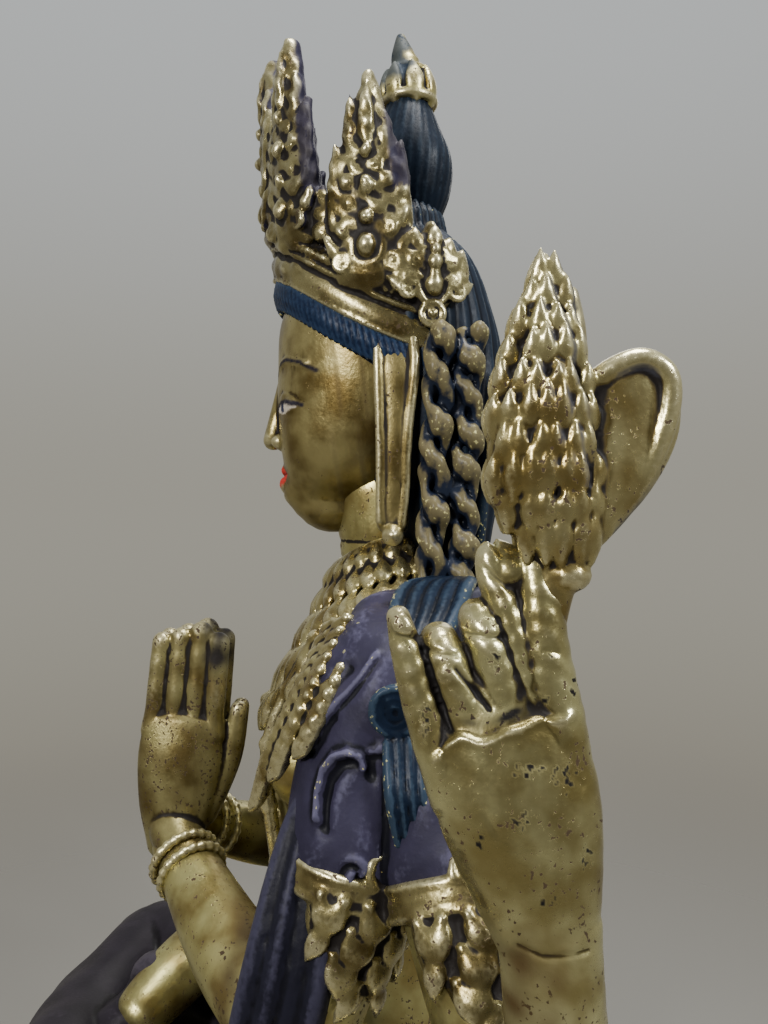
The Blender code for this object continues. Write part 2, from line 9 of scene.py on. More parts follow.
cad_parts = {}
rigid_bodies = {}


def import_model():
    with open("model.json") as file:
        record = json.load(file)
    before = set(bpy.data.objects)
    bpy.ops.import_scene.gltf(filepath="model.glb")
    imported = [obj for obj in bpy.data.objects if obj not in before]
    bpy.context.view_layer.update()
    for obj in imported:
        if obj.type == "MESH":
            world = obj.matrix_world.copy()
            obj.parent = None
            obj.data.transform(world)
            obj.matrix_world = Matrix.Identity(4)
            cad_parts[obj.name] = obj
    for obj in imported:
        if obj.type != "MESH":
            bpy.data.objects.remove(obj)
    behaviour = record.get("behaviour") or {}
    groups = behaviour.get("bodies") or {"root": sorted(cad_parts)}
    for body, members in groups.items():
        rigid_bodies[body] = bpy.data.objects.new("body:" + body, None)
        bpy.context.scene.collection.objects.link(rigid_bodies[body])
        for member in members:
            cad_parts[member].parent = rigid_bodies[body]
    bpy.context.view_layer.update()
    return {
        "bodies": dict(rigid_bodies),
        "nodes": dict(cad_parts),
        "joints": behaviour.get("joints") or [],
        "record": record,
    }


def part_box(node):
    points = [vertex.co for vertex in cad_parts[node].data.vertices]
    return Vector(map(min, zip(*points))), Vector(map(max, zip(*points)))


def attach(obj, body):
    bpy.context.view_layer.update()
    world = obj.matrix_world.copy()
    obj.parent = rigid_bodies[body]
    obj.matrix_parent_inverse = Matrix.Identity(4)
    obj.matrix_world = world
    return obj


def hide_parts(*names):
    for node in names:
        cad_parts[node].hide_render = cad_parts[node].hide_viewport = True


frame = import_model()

# The lotus seat: a hollow copper drum, cast with two rows of petals, one turned up under the table that the
# figure sits on and one turned down over the foot. It is gilt with the figure, and dark between its petals.
SEAT_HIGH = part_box("lotus_seat")[1]
SEAT_HALF_WIDTH = SEAT_HIGH.x
SEAT_HALF_DEPTH = SEAT_HIGH.y
SEAT_HEIGHT = SEAT_HIGH.z
SEAT_RIM = 0.0034
SEAT_LIP = 0.0020
TABLE_INSET = 0.0042
WAIST_INSET = 0.0085
BEAD_RISE = 0.0007
PETALS = 18
STEPS_ROUND_PETAL = 32
STEPS_UP_PETAL = 26
GOLD_PALE = (0.40, 0.365, 0.155)
GOLD_DEEP = (0.165, 0.120, 0.036)
SILVERY_WEAR_AND_HIGHLIGHT = (0.56, 0.51, 0.30)
PATINA = (0.012, 0.010, 0.009)
CHIP_BROWN = (0.050, 0.034, 0.020)
DULL_GLEAM = 0.10
BUMP_DEPTH = 0.00012
HOLLOW_REACHES = (0.0005, 0.0013)


def shade(tree, kind, inputs=(), **settings):
    """Adds a node, with plain values or other nodes' outputs on its inputs."""
    made = tree.nodes.new(kind)
    for key, value in settings.items():
        setattr(made, key, value)
    for key, value in dict(inputs).items():
        if isinstance(value, bpy.types.NodeSocket):
            tree.links.new(value, made.inputs[key])
        else:
            made.inputs[key].default_value = value
    return made


def grain_noise(tree, coords, scale, detail=4.0, stretch=None):
    if stretch:
        coords = shade(tree, "ShaderNodeMapping", {"Vector": coords, "Scale": stretch}).outputs["Vector"]
    noise = shade(tree, "ShaderNodeTexNoise", {"Vector": coords, "Scale": scale, "Detail": detail})
    return noise.outputs["Fac"]


def step_between(tree, value, low, high):
    """0 below low and 1 above high, with a soft change between them."""
    made = shade(tree, "ShaderNodeMapRange", {"Value": value, "From Min": low, "From Max": high},
                 interpolation_type="SMOOTHSTEP")
    return made.outputs["Result"]


def reckon(tree, operation, *values):
    return shade(tree, "ShaderNodeMath", enumerate(values), operation=operation).outputs[0]


def sum_of(tree, first, second, share):
    return reckon(tree, "MULTIPLY_ADD", second, share, first)


def spread(tree, value, low, high):
    """A value from 0 to 1, spread out from low to high."""
    made = shade(tree, "ShaderNodeMapRange", {"Value": value, "To Min": low, "To Max": high})
    return made.outputs["Result"]


def layered(tree, below, above, cover):
    """The colour above laid over the one below, as far as cover says."""
    made = shade(tree, "ShaderNodeMix", {0: cover, 6: below, 7: above}, data_type="RGBA")
    return made.outputs[2]


def with_alpha(colour, share=1.0):
    return (*(share * part for part in colour), 1.0)


def new_material(name):
    material = bpy.data.materials.new(name)
    material.use_nodes = True
    tree = material.node_tree
    return material, tree, tree.nodes["Principled BSDF"], shade(tree, "ShaderNodeTexCoord").outputs["Object"]


def hollow_of(tree):
    """How deep in a hollow each place of the skin lies, or how far out on an edge if it is below zero."""
    return shade(tree, "ShaderNodeAttribute", attribute_name="hollow").outputs["Fac"]


def surface(tree, shader, colour, rough, strength, height):
    """Puts colour, roughness and a fine bump on the metal, with the weak gleam of an old finish."""
    bump = shade(tree, "ShaderNodeBump", {"Strength": strength, "Distance": BUMP_DEPTH, "Height": height})
    tree.links.new(colour, shader.inputs["Base Color"])
    tree.links.new(rough, shader.inputs["Roughness"])
    tree.links.new(bump.outputs["Normal"], shader.inputs["Normal"])
    shader.inputs["Specular IOR Level"].default_value = DULL_GLEAM


def gilt(name, pale=GOLD_PALE, deep=GOLD_DEEP, speck=0.66, roughness=0.34, patina_from=0.16, marked=False):
    """Pale gold paint on copper alloy: brushed unevenly, rubbed silvery on edges as wear and painted
    highlight, chipped in dark specks, and black-brown with old dirt in the hollows. A marked one takes the
    colours painted on the skin as well."""
    material, tree, shader, coords = new_material(name)
    hollow = hollow_of(tree)
    broad = grain_noise(tree, coords, 170, 3.0)
    streak = grain_noise(tree, coords, 620, 4.0, (1, 1, 0.3))
    fine = grain_noise(tree, coords, 1900, 5.0)
    cloud = grain_noise(tree, coords, 330, 2.0)
    colour = layered(tree, with_alpha(deep), with_alpha(pale), step_between(tree, broad, 0.30, 0.68))
    streaked = step_between(tree, sum_of(tree, streak, hollow, 0.60), 0.56, 0.88)
    colour = layered(tree, colour, with_alpha(deep, 0.55), streaked)
    # Pale silvery edges: rubbed wear, and a painted highlight where the edges would catch the light.
    edge = step_between(tree, sum_of(tree, fine, hollow, -0.9), 1.15, 2.25)
    colour = layered(tree, colour, with_alpha(SILVERY_WEAR_AND_HIGHLIGHT), edge)
    chipped = step_between(tree, sum_of(tree, fine, cloud, 0.5), speck + 0.22, speck + 0.27)
    colour = layered(tree, colour, with_alpha(CHIP_BROWN), chipped)
    dirty = step_between(tree, sum_of(tree, hollow, streak, 0.30), patina_from + 0.20, patina_from + 0.75)
    colour = layered(tree, colour, with_alpha(PATINA), dirty)
    if marked:
        paint = shade(tree, "ShaderNodeAttribute", attribute_name="paint").outputs
        colour = layered(tree, colour, paint["Color"], paint["Alpha"])
        dirty = reckon(tree, "MAXIMUM", dirty, paint["Alpha"])
    dull = reckon(tree, "MAXIMUM", dirty, chipped)
    tree.links.new(spread(tree, dull, 0.86, 0.10), shader.inputs["Metallic"])
    rough = spread(tree, fine, roughness - 0.10, roughness + 0.12)
    rough = sum_of(tree, rough, dull, 0.25)
    surface(tree, shader, colour, rough, 0.30, sum_of(tree, fine, chipped, -0.8))
    return material


def read_all(items, field, kind=np.float64, width=3):
    """One field of every item, as rows of numbers."""
    values = np.zeros(len(items) * width, dtype=kind)
    items.foreach_get(field, values)
    return values.reshape(-1, width)


def neighbour_mean(values, ends, counts):
    """The mean of each vertex's neighbours along the edges that join these ends."""
    sums = [np.bincount(ends[:, 0], values[ends[:, 1], axis], len(values))
            + np.bincount(ends[:, 1], values[ends[:, 0], axis], len(values)) for axis in range(3)]
    return np.stack(sums, axis=1) / counts[:, None]


def normals_of(mesh):
    mesh.update()
    return read_all(mesh.vertex_normals, "vector")


def note_hollows(mesh):
    """Stores on the skin how hollow it is over two distances, as the dirt, the rubbing and the painted shade
    and highlights follow it.
    """
    places = read_all(mesh.vertices, "co")
    ends = read_all(mesh.edges, "vertices", np.int64, 2)
    counts = np.bincount(ends.ravel(), minlength=len(places)).clip(1)
    length = np.linalg.norm(places[ends[:, 0]] - places[ends[:, 1]], axis=1).mean()
    normals = normals_of(mesh)
    hollow = np.zeros(len(places))
    smooth = places.copy()
    done = 0
    for reach in HOLLOW_REACHES:
        passes = max(2, int(2 * (reach / length) ** 2))
        for _ in range(passes - done):
            smooth = neighbour_mean(smooth, ends, counts)
        done = max(done, passes)
        hollow += ((smooth - places) * normals).sum(axis=1) / (0.42 * reach)
    attribute = mesh.attributes.get("hollow") or mesh.attributes.new("hollow", "FLOAT", "POINT")
    attribute.data.foreach_set("value", hollow.clip(-1.5, 1.5).astype(np.float32))


def mesh_from(name, shape):
    """Turns a finished bmesh into a mesh."""
    mesh = bpy.data.meshes.new(name)
    shape.to_mesh(mesh)
    shape.free()
    return mesh


def placed(name, data):
    """A new object in the scene."""
    made = bpy.data.objects.new(name, data)
    bpy.context.scene.collection.objects.link(made)
    return made


def add_to(wax, shape):
    """Moves a finished bmesh into wax."""
    mesh = mesh_from("shape", shape)
    wax.from_mesh(mesh)
    bpy.data.meshes.remove(mesh)


def extrude_rings(shape, frames, sides):
    """A closed body through the unit circles that these matrices lay down."""
    start = bmesh.ops.create_circle(shape, cap_ends=True, segments=sides, radius=1, matrix=frames[0])
    first = cap = start["verts"][0].link_faces[0]
    for before, after in zip(frames, frames[1:]):
        grown = bmesh.ops.extrude_face_region(shape, geom=[cap])["geom"]
        if cap.is_valid and cap != first:
            shape.faces.remove(cap)
        moved = [item for item in grown if isinstance(item, bmesh.types.BMVert)]
        bmesh.ops.transform(shape, matrix=after @ before.inverted(), verts=moved)
        cap = next(item for item in grown if isinstance(item, bmesh.types.BMFace))


def belongs(piece, node):
    """The piece stands for a solid of the frame: it hangs from the root, and the solid is hidden."""
    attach(piece, "root")
    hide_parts(node)


def petal_cover(rise, aside):
    """How far the petals stand out, 0 to 1, at this share of their height and of the way to the next one."""
    edge = 1 - 0.9 * rise**2
    front, behind = (max(0.0, 1 - (place / edge) ** 3) ** 0.5 for place in (abs(aside), 1 - abs(aside)))
    rim = 0.10 * math.exp(-((abs(aside) / edge - 0.80) / 0.09) ** 2) * (abs(aside) < edge)
    rib = 0.05 * math.exp(-(aside / 0.05) ** 2)
    return (max(front, 0.5 * behind) + rim + rib) * math.sin(math.pi * (0.14 + 0.52 * rise))


def seat_inset(height, rise, aside, angle):
    if rise is None:
        beads = abs(math.sin(angle * PETALS * 3)) * BEAD_RISE * (height > SEAT_HEIGHT / 2)
        return TABLE_INSET - beads
    return max(0.0, WAIST_INSET * (1 - petal_cover(rise, aside)))


def lotus_seat():
    waist = SEAT_RIM + (SEAT_HEIGHT - SEAT_RIM) / 2
    reach = (SEAT_HEIGHT - SEAT_RIM) / 2
    rises = [i / STEPS_UP_PETAL for i in range(STEPS_UP_PETAL)]
    levels = [(0, None), (SEAT_RIM * 0.5, None), (SEAT_RIM, None)]
    levels += [(waist - reach * (1 - rise), 1 - rise) for rise in rises]
    levels += [(waist + reach * rise, rise) for rise in rises
               if waist + reach * rise < SEAT_HEIGHT - SEAT_LIP]
    levels += [(SEAT_HEIGHT - SEAT_LIP, 1), (SEAT_HEIGHT - SEAT_LIP / 2, None), (SEAT_HEIGHT, None)]
    shape = bmesh.new()
    rings = [Matrix.Translation((0, 0, height)) for height, rise in levels]
    extrude_rings(shape, rings, PETALS * STEPS_ROUND_PETAL)
    rise_at = {round(height, 6): rise for height, rise in levels}
    for vert in shape.verts:
        rise = rise_at[round(vert.co.z, 6)]
        angle = math.atan2(vert.co.x, -vert.co.y)
        turn = angle * PETALS / (2 * math.pi) + (0 if vert.co.z >= waist else 0.5)
        inset = seat_inset(vert.co.z, rise, (turn + 0.5) % 1 * 2 - 1, angle)
        if rise == 1 and vert.co.z > waist:
            inset = min(inset, TABLE_INSET)
        vert.co.x = (SEAT_HALF_WIDTH - inset) * math.sin(angle)
        vert.co.y = -(SEAT_HALF_DEPTH - inset) * math.cos(angle)
    bmesh.ops.triangulate(shape, faces=[face for face in shape.faces if len(face.verts) > 4])
    bmesh.ops.recalc_face_normals(shape, faces=shape.faces)
    mesh = mesh_from("seat", shape)
    mesh.shade_smooth()
    mesh.set_sharp_from_angle(angle=math.radians(60))
    note_hollows(mesh)
    mesh.materials.append(gilt("seat_gilt", patina_from=0.05))
    belongs(placed("seat", mesh), "lotus_seat")


lotus_seat()

# The legs: crossed with both soles turned up, and cast in one with the rest of the figure, as all that
# follows is. The trousers are painted a dark purple-brown over the metal, in soft folds, and the feet are
# gilt.
CANON_HEIGHT = 69.0  # the figure's height in canon units, each a twelfth of the face from hairline to chin
FIGURE_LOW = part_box("figure")[0]
FIGURE_HEIGHT = 0.192
UNIT = FIGURE_HEIGHT / CANON_HEIGHT
BACK_SET = 0.0225
TO_FRAME = Matrix.Translation((0, BACK_SET, FIGURE_LOW.z)) @ Matrix.Scale(UNIT, 4)
LEFT, RIGHT = 1, -1
UP = Vector((0, 0, 1))
THINNEST = 1e-4
THIGH = [(6.0, 2.5, 5.6, 5.6, 5.2), (12.4, -7.5, 5.4, 5.1, 5.0), (18.4, -17.4, 4.6, 4.4, 4.4)]
UPPER_SHIN = [(-18.4, -18.2, 4.4, 4.3, 4.2), (-9.5, -20.6, 5.0, 3.3, 3.2), (0.5, -19.8, 6.6, 2.9, 2.8),
              (6.2, -16.2, 7.8, 2.2, 2.1), (7.6, -15.2, 8.6, 2.45, 2.2)]
LOWER_SHIN = [(18.4, -18.2, 4.4, 4.3, 4.2), (10.0, -21.8, 3.9, 3.5, 3.4), (1.0, -21.4, 3.6, 3.0, 2.9),
              (-6.5, -16.5, 6.8, 2.2, 2.1), (-8.0, -15.2, 8.2, 2.45, 2.2)]
CAP_ANGLES = (0.4, 0.8, 1.15, 1.42)
FOOT = [(5.6, -15.8, 8.0, 1.8, 1.5), (8.4, -13.9, 9.2, 2.2, 1.5), (11.5, -11.9, 9.9, 2.4, 1.2),
        (13.6, -10.4, 9.8, 2.0, 0.9)]
TOES = 5
TROUSER_BROWN = (0.010, 0.008, 0.011)
TROUSER_LIGHT = (0.040, 0.034, 0.045)
TROUSER_DARK = (0.004, 0.003, 0.004)


def smooth_rows(rows, steps):
    """A Catmull-Rom curve through rows of numbers, with this many steps between each two."""
    rows = [Vector(row) for row in rows]
    ends = [rows[0] * 2 - rows[1], *rows, rows[-1] * 2 - rows[-2]]
    curve = []
    for a, b, c, d in zip(ends, ends[1:], ends[2:], ends[3:]):
        for step in range(steps):
            t = step / steps
            bend = (2 * a - 5 * b + 4 * c - d) * t**2 + (3 * b - a - 3 * c + d) * t**3
            curve.append(0.5 * (2 * b + (c - a) * t + bend))
    return [*curve, rows[-1]]


def ring_frame(place, across, depth, along):
    return Matrix([*zip(across, depth, along, place), (0, 0, 0, 1)])


def form(wax, rows, side=(1, 0, 0), sides=16, steps=5, upright=False):
    """A closed round-ended body through rows of x, y, z, half width along side and half depth across it."""
    curve = smooth_rows(rows, steps)
    places = [Vector(row[:3]) for row in curve]
    last = len(curve) - 1
    rings = []
    for i, row in enumerate(curve):
        run = places[min(i + 1, last)] - places[max(i - 1, 0)]
        along = UP if upright else run.normalized()
        across = (Vector(side) - along * along.dot(Vector(side))).normalized()
        rings.append((places[i], across, along, max(row[3], THINNEST), max(row[4], THINNEST)))
    for end, turn in ((0, -1), (-1, 1)):
        place, across, along, width, depth = rings[end]
        for angle in CAP_ANGLES:
            reach = along * turn * min(width, depth) * math.sin(angle)
            cap = (place + reach, across, along, width * math.cos(angle), depth * math.cos(angle))
            rings.insert(0 if end == 0 else len(rings), cap)
    frames = [ring_frame(place, across * width, along.cross(across) * depth, along)
              for place, across, along, width, depth in rings]
    shape = bmesh.new()
    extrude_rings(shape, frames, sides)
    add_to(wax, shape)


def to_side(row, hand):
    """The same place or row on the left, or mirrored to the right."""
    return (hand * row[0], *row[1:])


def mirrored(rows, hand):
    return [to_side(row, hand) for row in rows]


def both_sides(wax, rows, side=(1, 0, 0), sides=16, steps=5):
    for hand in (LEFT, RIGHT):
        form(wax, mirrored(rows, hand), to_side(side, hand), sides, steps)


def ball(wax, place, radii, sides=12, turn=None):
    shape = bmesh.new()
    size = Matrix.Translation(Vector(place)) @ (turn or Matrix.Identity(4)) @ Matrix.Diagonal((*radii, 1))
    bmesh.ops.create_uvsphere(shape, u_segments=sides, v_segments=max(6, sides // 2), radius=1, matrix=size)
    add_to(wax, shape)


def bead(wax, place, radius, sides=10):
    ball(wax, place, (radius,) * 3, sides)


def drop_pockets(shape):
    """Leaves the outer skin alone, because pockets sealed between the forms fill up in a cast."""
    left = set(shape.verts)
    shells = []
    while left:
        shell = {left.pop()}
        open_verts = list(shell)
        while open_verts:
            vert = open_verts.pop()
            fresh = {edge.other_vert(vert) for edge in vert.link_edges} - shell
            shell |= fresh
            open_verts += fresh
        left -= shell
        shells.append(shell)
    biggest = max(shells, key=len)
    pockets = [shell for shell in shells if shell is not biggest and len(shell) < len(biggest) / 60]
    doomed = sorted((vert for shell in pockets for vert in shell), key=lambda vert: vert.index)
    bmesh.ops.delete(shape, geom=doomed, context="VERTS")


def no_relief(x, y, z):
    return 0.0


def baked(piece):
    """The piece's mesh with its modifier carried out."""
    bpy.context.view_layer.update()
    mesh = bpy.data.meshes.new_from_object(piece.evaluated_get(bpy.context.evaluated_depsgraph_get()))
    piece.modifiers.clear()
    return mesh


def skin_of(name, wax, grain, material, relief=no_relief, floor=None, paint=None, passes=2, kept=0.35):
    """Fuses the forms of wax into one skin of this grain in metres, smooths it, raises its relief by a
    function of the place in canon units, thins its faces to the kept share, and joins it to the figure."""
    bmesh.ops.recalc_face_normals(wax, faces=wax.faces)
    bmesh.ops.transform(wax, matrix=TO_FRAME, verts=wax.verts)
    draft = mesh_from(name, wax)
    piece = placed(name, draft)
    fuse = piece.modifiers.new("fuse", "REMESH")
    fuse.mode = "VOXEL"
    fuse.voxel_size = grain
    fused = baked(piece)
    shape = bmesh.new()
    shape.from_mesh(fused)
    drop_pockets(shape)
    if floor is not None:
        low = FIGURE_LOW.z + floor * UNIT
        cut = bmesh.ops.bisect_plane(shape, geom=[*shape.verts, *shape.edges, *shape.faces], dist=grain / 100,
                                     plane_co=(0, 0, low), plane_no=(0, 0, -1), clear_outer=True)
        rim = [item for item in cut["geom_cut"] if isinstance(item, bmesh.types.BMEdge)]
        bmesh.ops.edgeloop_fill(shape, edges=rim)
    for _ in range(passes):
        bmesh.ops.smooth_vert(shape, verts=[vert for vert in shape.verts if vert.co.z > FIGURE_LOW.z + grain],
                              factor=0.5, use_axis_x=True, use_axis_y=True, use_axis_z=True)
    shape.to_mesh(fused)
    shape.free()
    places = read_all(fused.vertices, "co")
    x, y, z = ((places - np.array([0, BACK_SET, FIGURE_LOW.z])) / UNIT).T
    lift = relief(x, y, z) * UNIT
    places += normals_of(fused) * np.broadcast_to(lift, x.shape)[:, None]
    places[:, 2] = places[:, 2].clip(FIGURE_LOW.z)
    fused.vertices.foreach_set("co", places.ravel())
    note_hollows(fused)
    if paint:
        attribute = fused.attributes.new("paint", "FLOAT_COLOR", "POINT")
        colours = paint(x, y, z, normals_of(fused))
        attribute.data.foreach_set("color", colours.astype(np.float32).ravel())
    fused.shade_smooth()
    fused.materials.append(material)
    piece.data = fused
    bpy.data.meshes.remove(draft)
    if kept < 1:
        piece.modifiers.new("thin", "DECIMATE").ratio = kept
        piece.data = baked(piece)
        bpy.data.meshes.remove(fused)
    belongs(piece, "figure")


def painted(name, base, light, dark, roughness, wear_and_highlight_from=0.80):
    """Oil paint over the metal: darker in the hollows as painted shade, lighter on the ridges as rubbed wear
    and painted highlight, with flecks of gold.
    """
    material, tree, shader, coords = new_material(name)
    hollow = hollow_of(tree)
    broad = grain_noise(tree, coords, 210, 3.0)
    fine = grain_noise(tree, coords, 1700, 5.0)
    colour = layered(tree, with_alpha(base), with_alpha(base, 1.5), step_between(tree, broad, 0.35, 0.70))
    # Lighter paint on the ridges: rubbed wear, and a painted highlight.
    rubbed = step_between(tree, sum_of(tree, fine, hollow, -0.9), wear_and_highlight_from, wear_and_highlight_from + 0.75)
    colour = layered(tree, colour, with_alpha(light), rubbed)
    flecks = step_between(tree, sum_of(tree, fine, hollow, -0.30), 1.02, 1.12)
    colour = layered(tree, colour, with_alpha(GOLD_PALE), flecks)
    # Darker paint in the hollows: painted shade.
    painted_shade = step_between(tree, sum_of(tree, hollow, fine, 0.25), 0.22, 0.70)
    colour = layered(tree, colour, with_alpha(dark), painted_shade)
    rough = spread(tree, fine, roughness - 0.1, roughness + 0.15)
    surface(tree, shader, colour, rough, 0.25, fine)
    return material


def ramp(value):
    """The value itself between 0 and 1, and 0 or 1 beyond."""
    return np.clip(value, 0, 1)


def trouser_folds(x, y, z):
    sweep = np.sin(1.5 * z + 0.55 * np.abs(x) + 0.35 * y)
    sweep = sweep + 0.5 * np.sin(2.7 * z - 0.8 * np.abs(x) + 0.4 * y + 1.3)
    return 0.10 * sweep * ramp((z - 0.3) / 1.5)


def legs():
    wax = bmesh.new()
    both_sides(wax, THIGH, sides=48, steps=8)
    for rows in (UPPER_SHIN, LOWER_SHIN):
        form(wax, rows, side=UP, sides=40, steps=8)
    paint = painted("trouser_paint", TROUSER_BROWN, TROUSER_LIGHT, TROUSER_DARK, 0.40)
    skin_of("trousers", wax, 0.0008, paint, trouser_folds, floor=0.0)
    wax = bmesh.new()
    for hand in (LEFT, RIGHT):
        form(wax, mirrored(FOOT, hand), side=(0.55 * hand, 0.83, 0), sides=24)
        for toe in range(TOES):
            t = toe / (TOES - 1) - 0.5
            ball(wax, (hand * (14.9 + 1.4 * t), -9.6 + 2.9 * t, 9.7), (0.85, 0.75, 0.65), 14)
    skin_of("feet", wax, 0.0004, gilt("foot_gilt"))


legs()

# The trunk and the bare arms: four arms on two shoulders. The front pair bends in to pray before the breast
# and the back pair is raised beside the shoulders. Gilt as bare skin.
TORSO = [(0, 2.0, 1.5, 9.0, 6.6), (0, 1.6, 7, 8.2, 6.2), (0, 0.4, 12, 6.4, 5.0), (0, -0.1, 17, 5.9, 4.8),
         (0, -0.7, 23, 7.3, 5.4), (0, -0.9, 28, 8.7, 5.5), (0, 0.1, 32, 9.0, 4.7), (0, 0.8, 34.8, 6.4, 3.3),
         (0, 0.7, 36.8, 3.3, 2.8)]
NECK = [(0, 0.6, 35, 3.1, 3.0), (0, 0.3, 38, 2.8, 2.8), (0, 0.0, 42, 2.9, 3.0)]
NECK_FOLDS = (36.6, 37.9, 39.1)
FRONT_UPPER_ARM = [(9.8, 0.2, 32.0, 3.0, 3.0), (11.9, -1.4, 25, 2.8, 2.7), (12.4, -3.6, 17.4, 2.3, 2.2)]
FRONT_FOREARM = [(12.4, -3.6, 17.4, 2.3, 2.3), (7.4, -7.6, 18.9, 2.1, 2.1), (1.9, -11.6, 21.8, 1.4, 1.5)]
BACK_UPPER_ARM = [(10.2, 1.6, 32.0, 3.0, 2.9), (14.4, 3.4, 24, 2.8, 2.6), (18.7, 6.3, 14.6, 2.3, 2.2)]
BACK_FOREARM = [(18.7, 6.3, 14.6, 2.4, 2.3), (20.2, 6.3, 18.6, 2.35, 2.25), (20.75, 5.9, 22.4, 1.70, 1.62)]
TRUNK_DEEP = (0.225, 0.172, 0.058)
# Brown for painted shade mixed with dirt, on the arms and in the smears on the praying palms.
ARM_SHADE_AND_DIRT = (0.030, 0.020, 0.012)


def neck_folds(x, y, z):
    return -0.12 * sum(np.exp(-((z - height + 0.05 * np.abs(x)) / 0.13) ** 2) for height in NECK_FOLDS)


def laid(colour, cover):
    """One paint over the whole skin, as thick as cover says."""
    return np.concatenate([np.broadcast_to(colour, (len(cover), 3)), cover[:, None]], axis=1)


def arm_shade_and_dirt(x, y, z, normals):
    """Painted shade mixed with old brown dirt, between the front and back arms, inside the raised forearms,
    and before the belly.
    """
    gap = ramp((y - 2.7) / 0.8) * ramp((16.4 - np.abs(x)) / 1.0) * ramp((z - 17.0) / 3.0)
    forearm = ramp((np.abs(x) - 18.2) / 0.6) * ramp((7.4 - y) / 2.6) * 0.8
    blotch = 0.5 + 0.5 * np.sin(2.3 * y + 1.1 * z) * np.sin(1.7 * z - 0.9 * x)
    within = 0.9 * ramp((y + 8.6) / 1.6) * ramp((-3.6 - y) / 0.8)
    cover = np.maximum(np.maximum(gap, forearm) * (z > 15.5), within) * (0.55 + 0.45 * blotch)
    return laid(ARM_SHADE_AND_DIRT, cover)


def over(colours, cover, colour):
    """Paint laid over the colours where cover says, edge to edge."""
    cover = ramp(cover)[:, None]
    alpha = colours[:, 3:] * (1 - cover) + cover
    tint = colours[:, :3] * (1 - cover) + np.array(colour) * cover
    return np.concatenate([tint, alpha], axis=1)


def trunk():
    wax = bmesh.new()
    form(wax, TORSO, sides=56, steps=8, upright=True)
    form(wax, NECK, sides=32)
    for hand in (LEFT, RIGHT):
        ball(wax, (hand * 9.4, 0.6, 32.4), (3.3, 3.3, 3.2), 32)
        ball(wax, (hand * 3.9, -4.4, 27.6), (3.2, 2.0, 2.6), 28)
    skin_of("trunk", wax, 0.0007, gilt("trunk_gilt", deep=TRUNK_DEEP), neck_folds, floor=0.0)
    wax = bmesh.new()
    for rows in (FRONT_UPPER_ARM, BACK_UPPER_ARM, BACK_FOREARM):
        both_sides(wax, rows, sides=32)
    both_sides(wax, FRONT_FOREARM, side=UP, sides=32)
    # The arms carry painted shade mixed with brown dirt between the arms, inside the raised forearms and
    # before the belly.
    skin_of("arms", wax, 0.0006, gilt("arm_gilt", marked=True), paint=arm_shade_and_dirt)


trunk()

# The shawl: one long painted cloth that crosses the upper back, covers both shoulders as far as the armlets,
# and hangs in narrow folds past each elbow to the seat. It is modelled in the wax, with an S-shaped fold on
# each sleeve.
SLEEVE = [(8.4, 0.8, 34.6, 2.8, 2.4), (10.4, 0.4, 32.8, 3.75, 3.5), (11.0, -0.5, 29.5, 3.5, 3.35),
          (11.8, -1.1, 26.6, 3.2, 3.05), (12.0, -1.4, 25.2, 3.0, 2.9)]
SCARF = [(4.8, 3.6, 36.0, 2.0, 0.7), (9.2, 1.4, 35.4, 2.4, 0.8), (12.0, -1.0, 31.0, 1.4, 0.6),
         (12.9, -2.9, 27.0, 1.5, 0.7), (14.2, -3.9, 22.0, 1.9, 0.7), (14.0, -4.9, 17.0, 1.9, 0.8),
         (14.2, -5.2, 11.5, 1.8, 0.8)]
SCARF_TAIL = [(14.0, -5.4, 12.2, 1.6, 0.9), (15.8, -3.4, 9.8, 1.8, 0.9), (17.4, -0.4, 6.2, 2.0, 0.9),
              (19.6, 1.8, 3.2, 2.3, 0.9), (20.0, 3.4, 1.2, 2.6, 0.9)]
BACK_DRAPE = [(-9.4, 2.6, 33.4, 1.6, 0.7), (-5.0, 4.4, 32.4, 1.9, 0.7), (0, 4.9, 31.4, 2.0, 0.7),
              (5.0, 4.4, 32.4, 1.9, 0.7), (9.4, 2.6, 33.4, 1.6, 0.7)]
S_FOLD = ((-2.8, 27.9), (-2.75, 28.9), (-2.5, 29.8), (-2.05, 30.4), (-1.5, 30.65), (-1.05, 30.5),
          (-0.85, 30.1))
SLEEVE_RIDGES = (((-3.1, 30.6), (-2.7, 31.6), (-1.9, 32.7), (-1.0, 33.7), (-0.3, 34.6)),
                 ((-0.15, 31.0), (-0.25, 29.4), (-0.15, 27.6), (-0.35, 25.8)),
                 ((-0.6, 30.7), (0.4, 30.9), (1.4, 30.7)))
SLEEVE_GROOVES = (((-3.3, 31.6), (-2.4, 32.9), (-1.5, 34.0)), ((-3.2, 30.2), (-2.6, 31.0), (-2.2, 31.9)))
SWIRL = (-1.1, 25.9)
SLEEVE_BEHIND = [(10.2, 1.6, 32.0, 3.4, 3.3), (12.3, 2.4, 28.4, 3.25, 3.1), (13.5, 2.95, 25.9, 3.1, 2.95)]
CLOTH = (0.0165, 0.0148, 0.0285)
CLOTH_LIGHT = (0.062, 0.059, 0.098)
CLOTH_DARK = (0.004, 0.004, 0.007)
SCARF_DARK, SCARF_LIGHT = (0.006, 0.006, 0.011), (0.028, 0.027, 0.046)


def line_mark(across, up, points, width):
    """1 along a line through these points and 0 away from it, on places given by across and up."""
    nearest = np.full(np.shape(across), 1e9)
    for (x0, y0), (x1, y1) in zip(points, points[1:]):
        run, rise = x1 - x0, y1 - y0
        t = ramp(((across - x0) * run + (up - y0) * rise) / (run * run + rise * rise))
        nearest = np.minimum(nearest, (across - x0 - t * run) ** 2 + (up - y0 - t * rise) ** 2)
    return np.exp(-nearest / width**2)


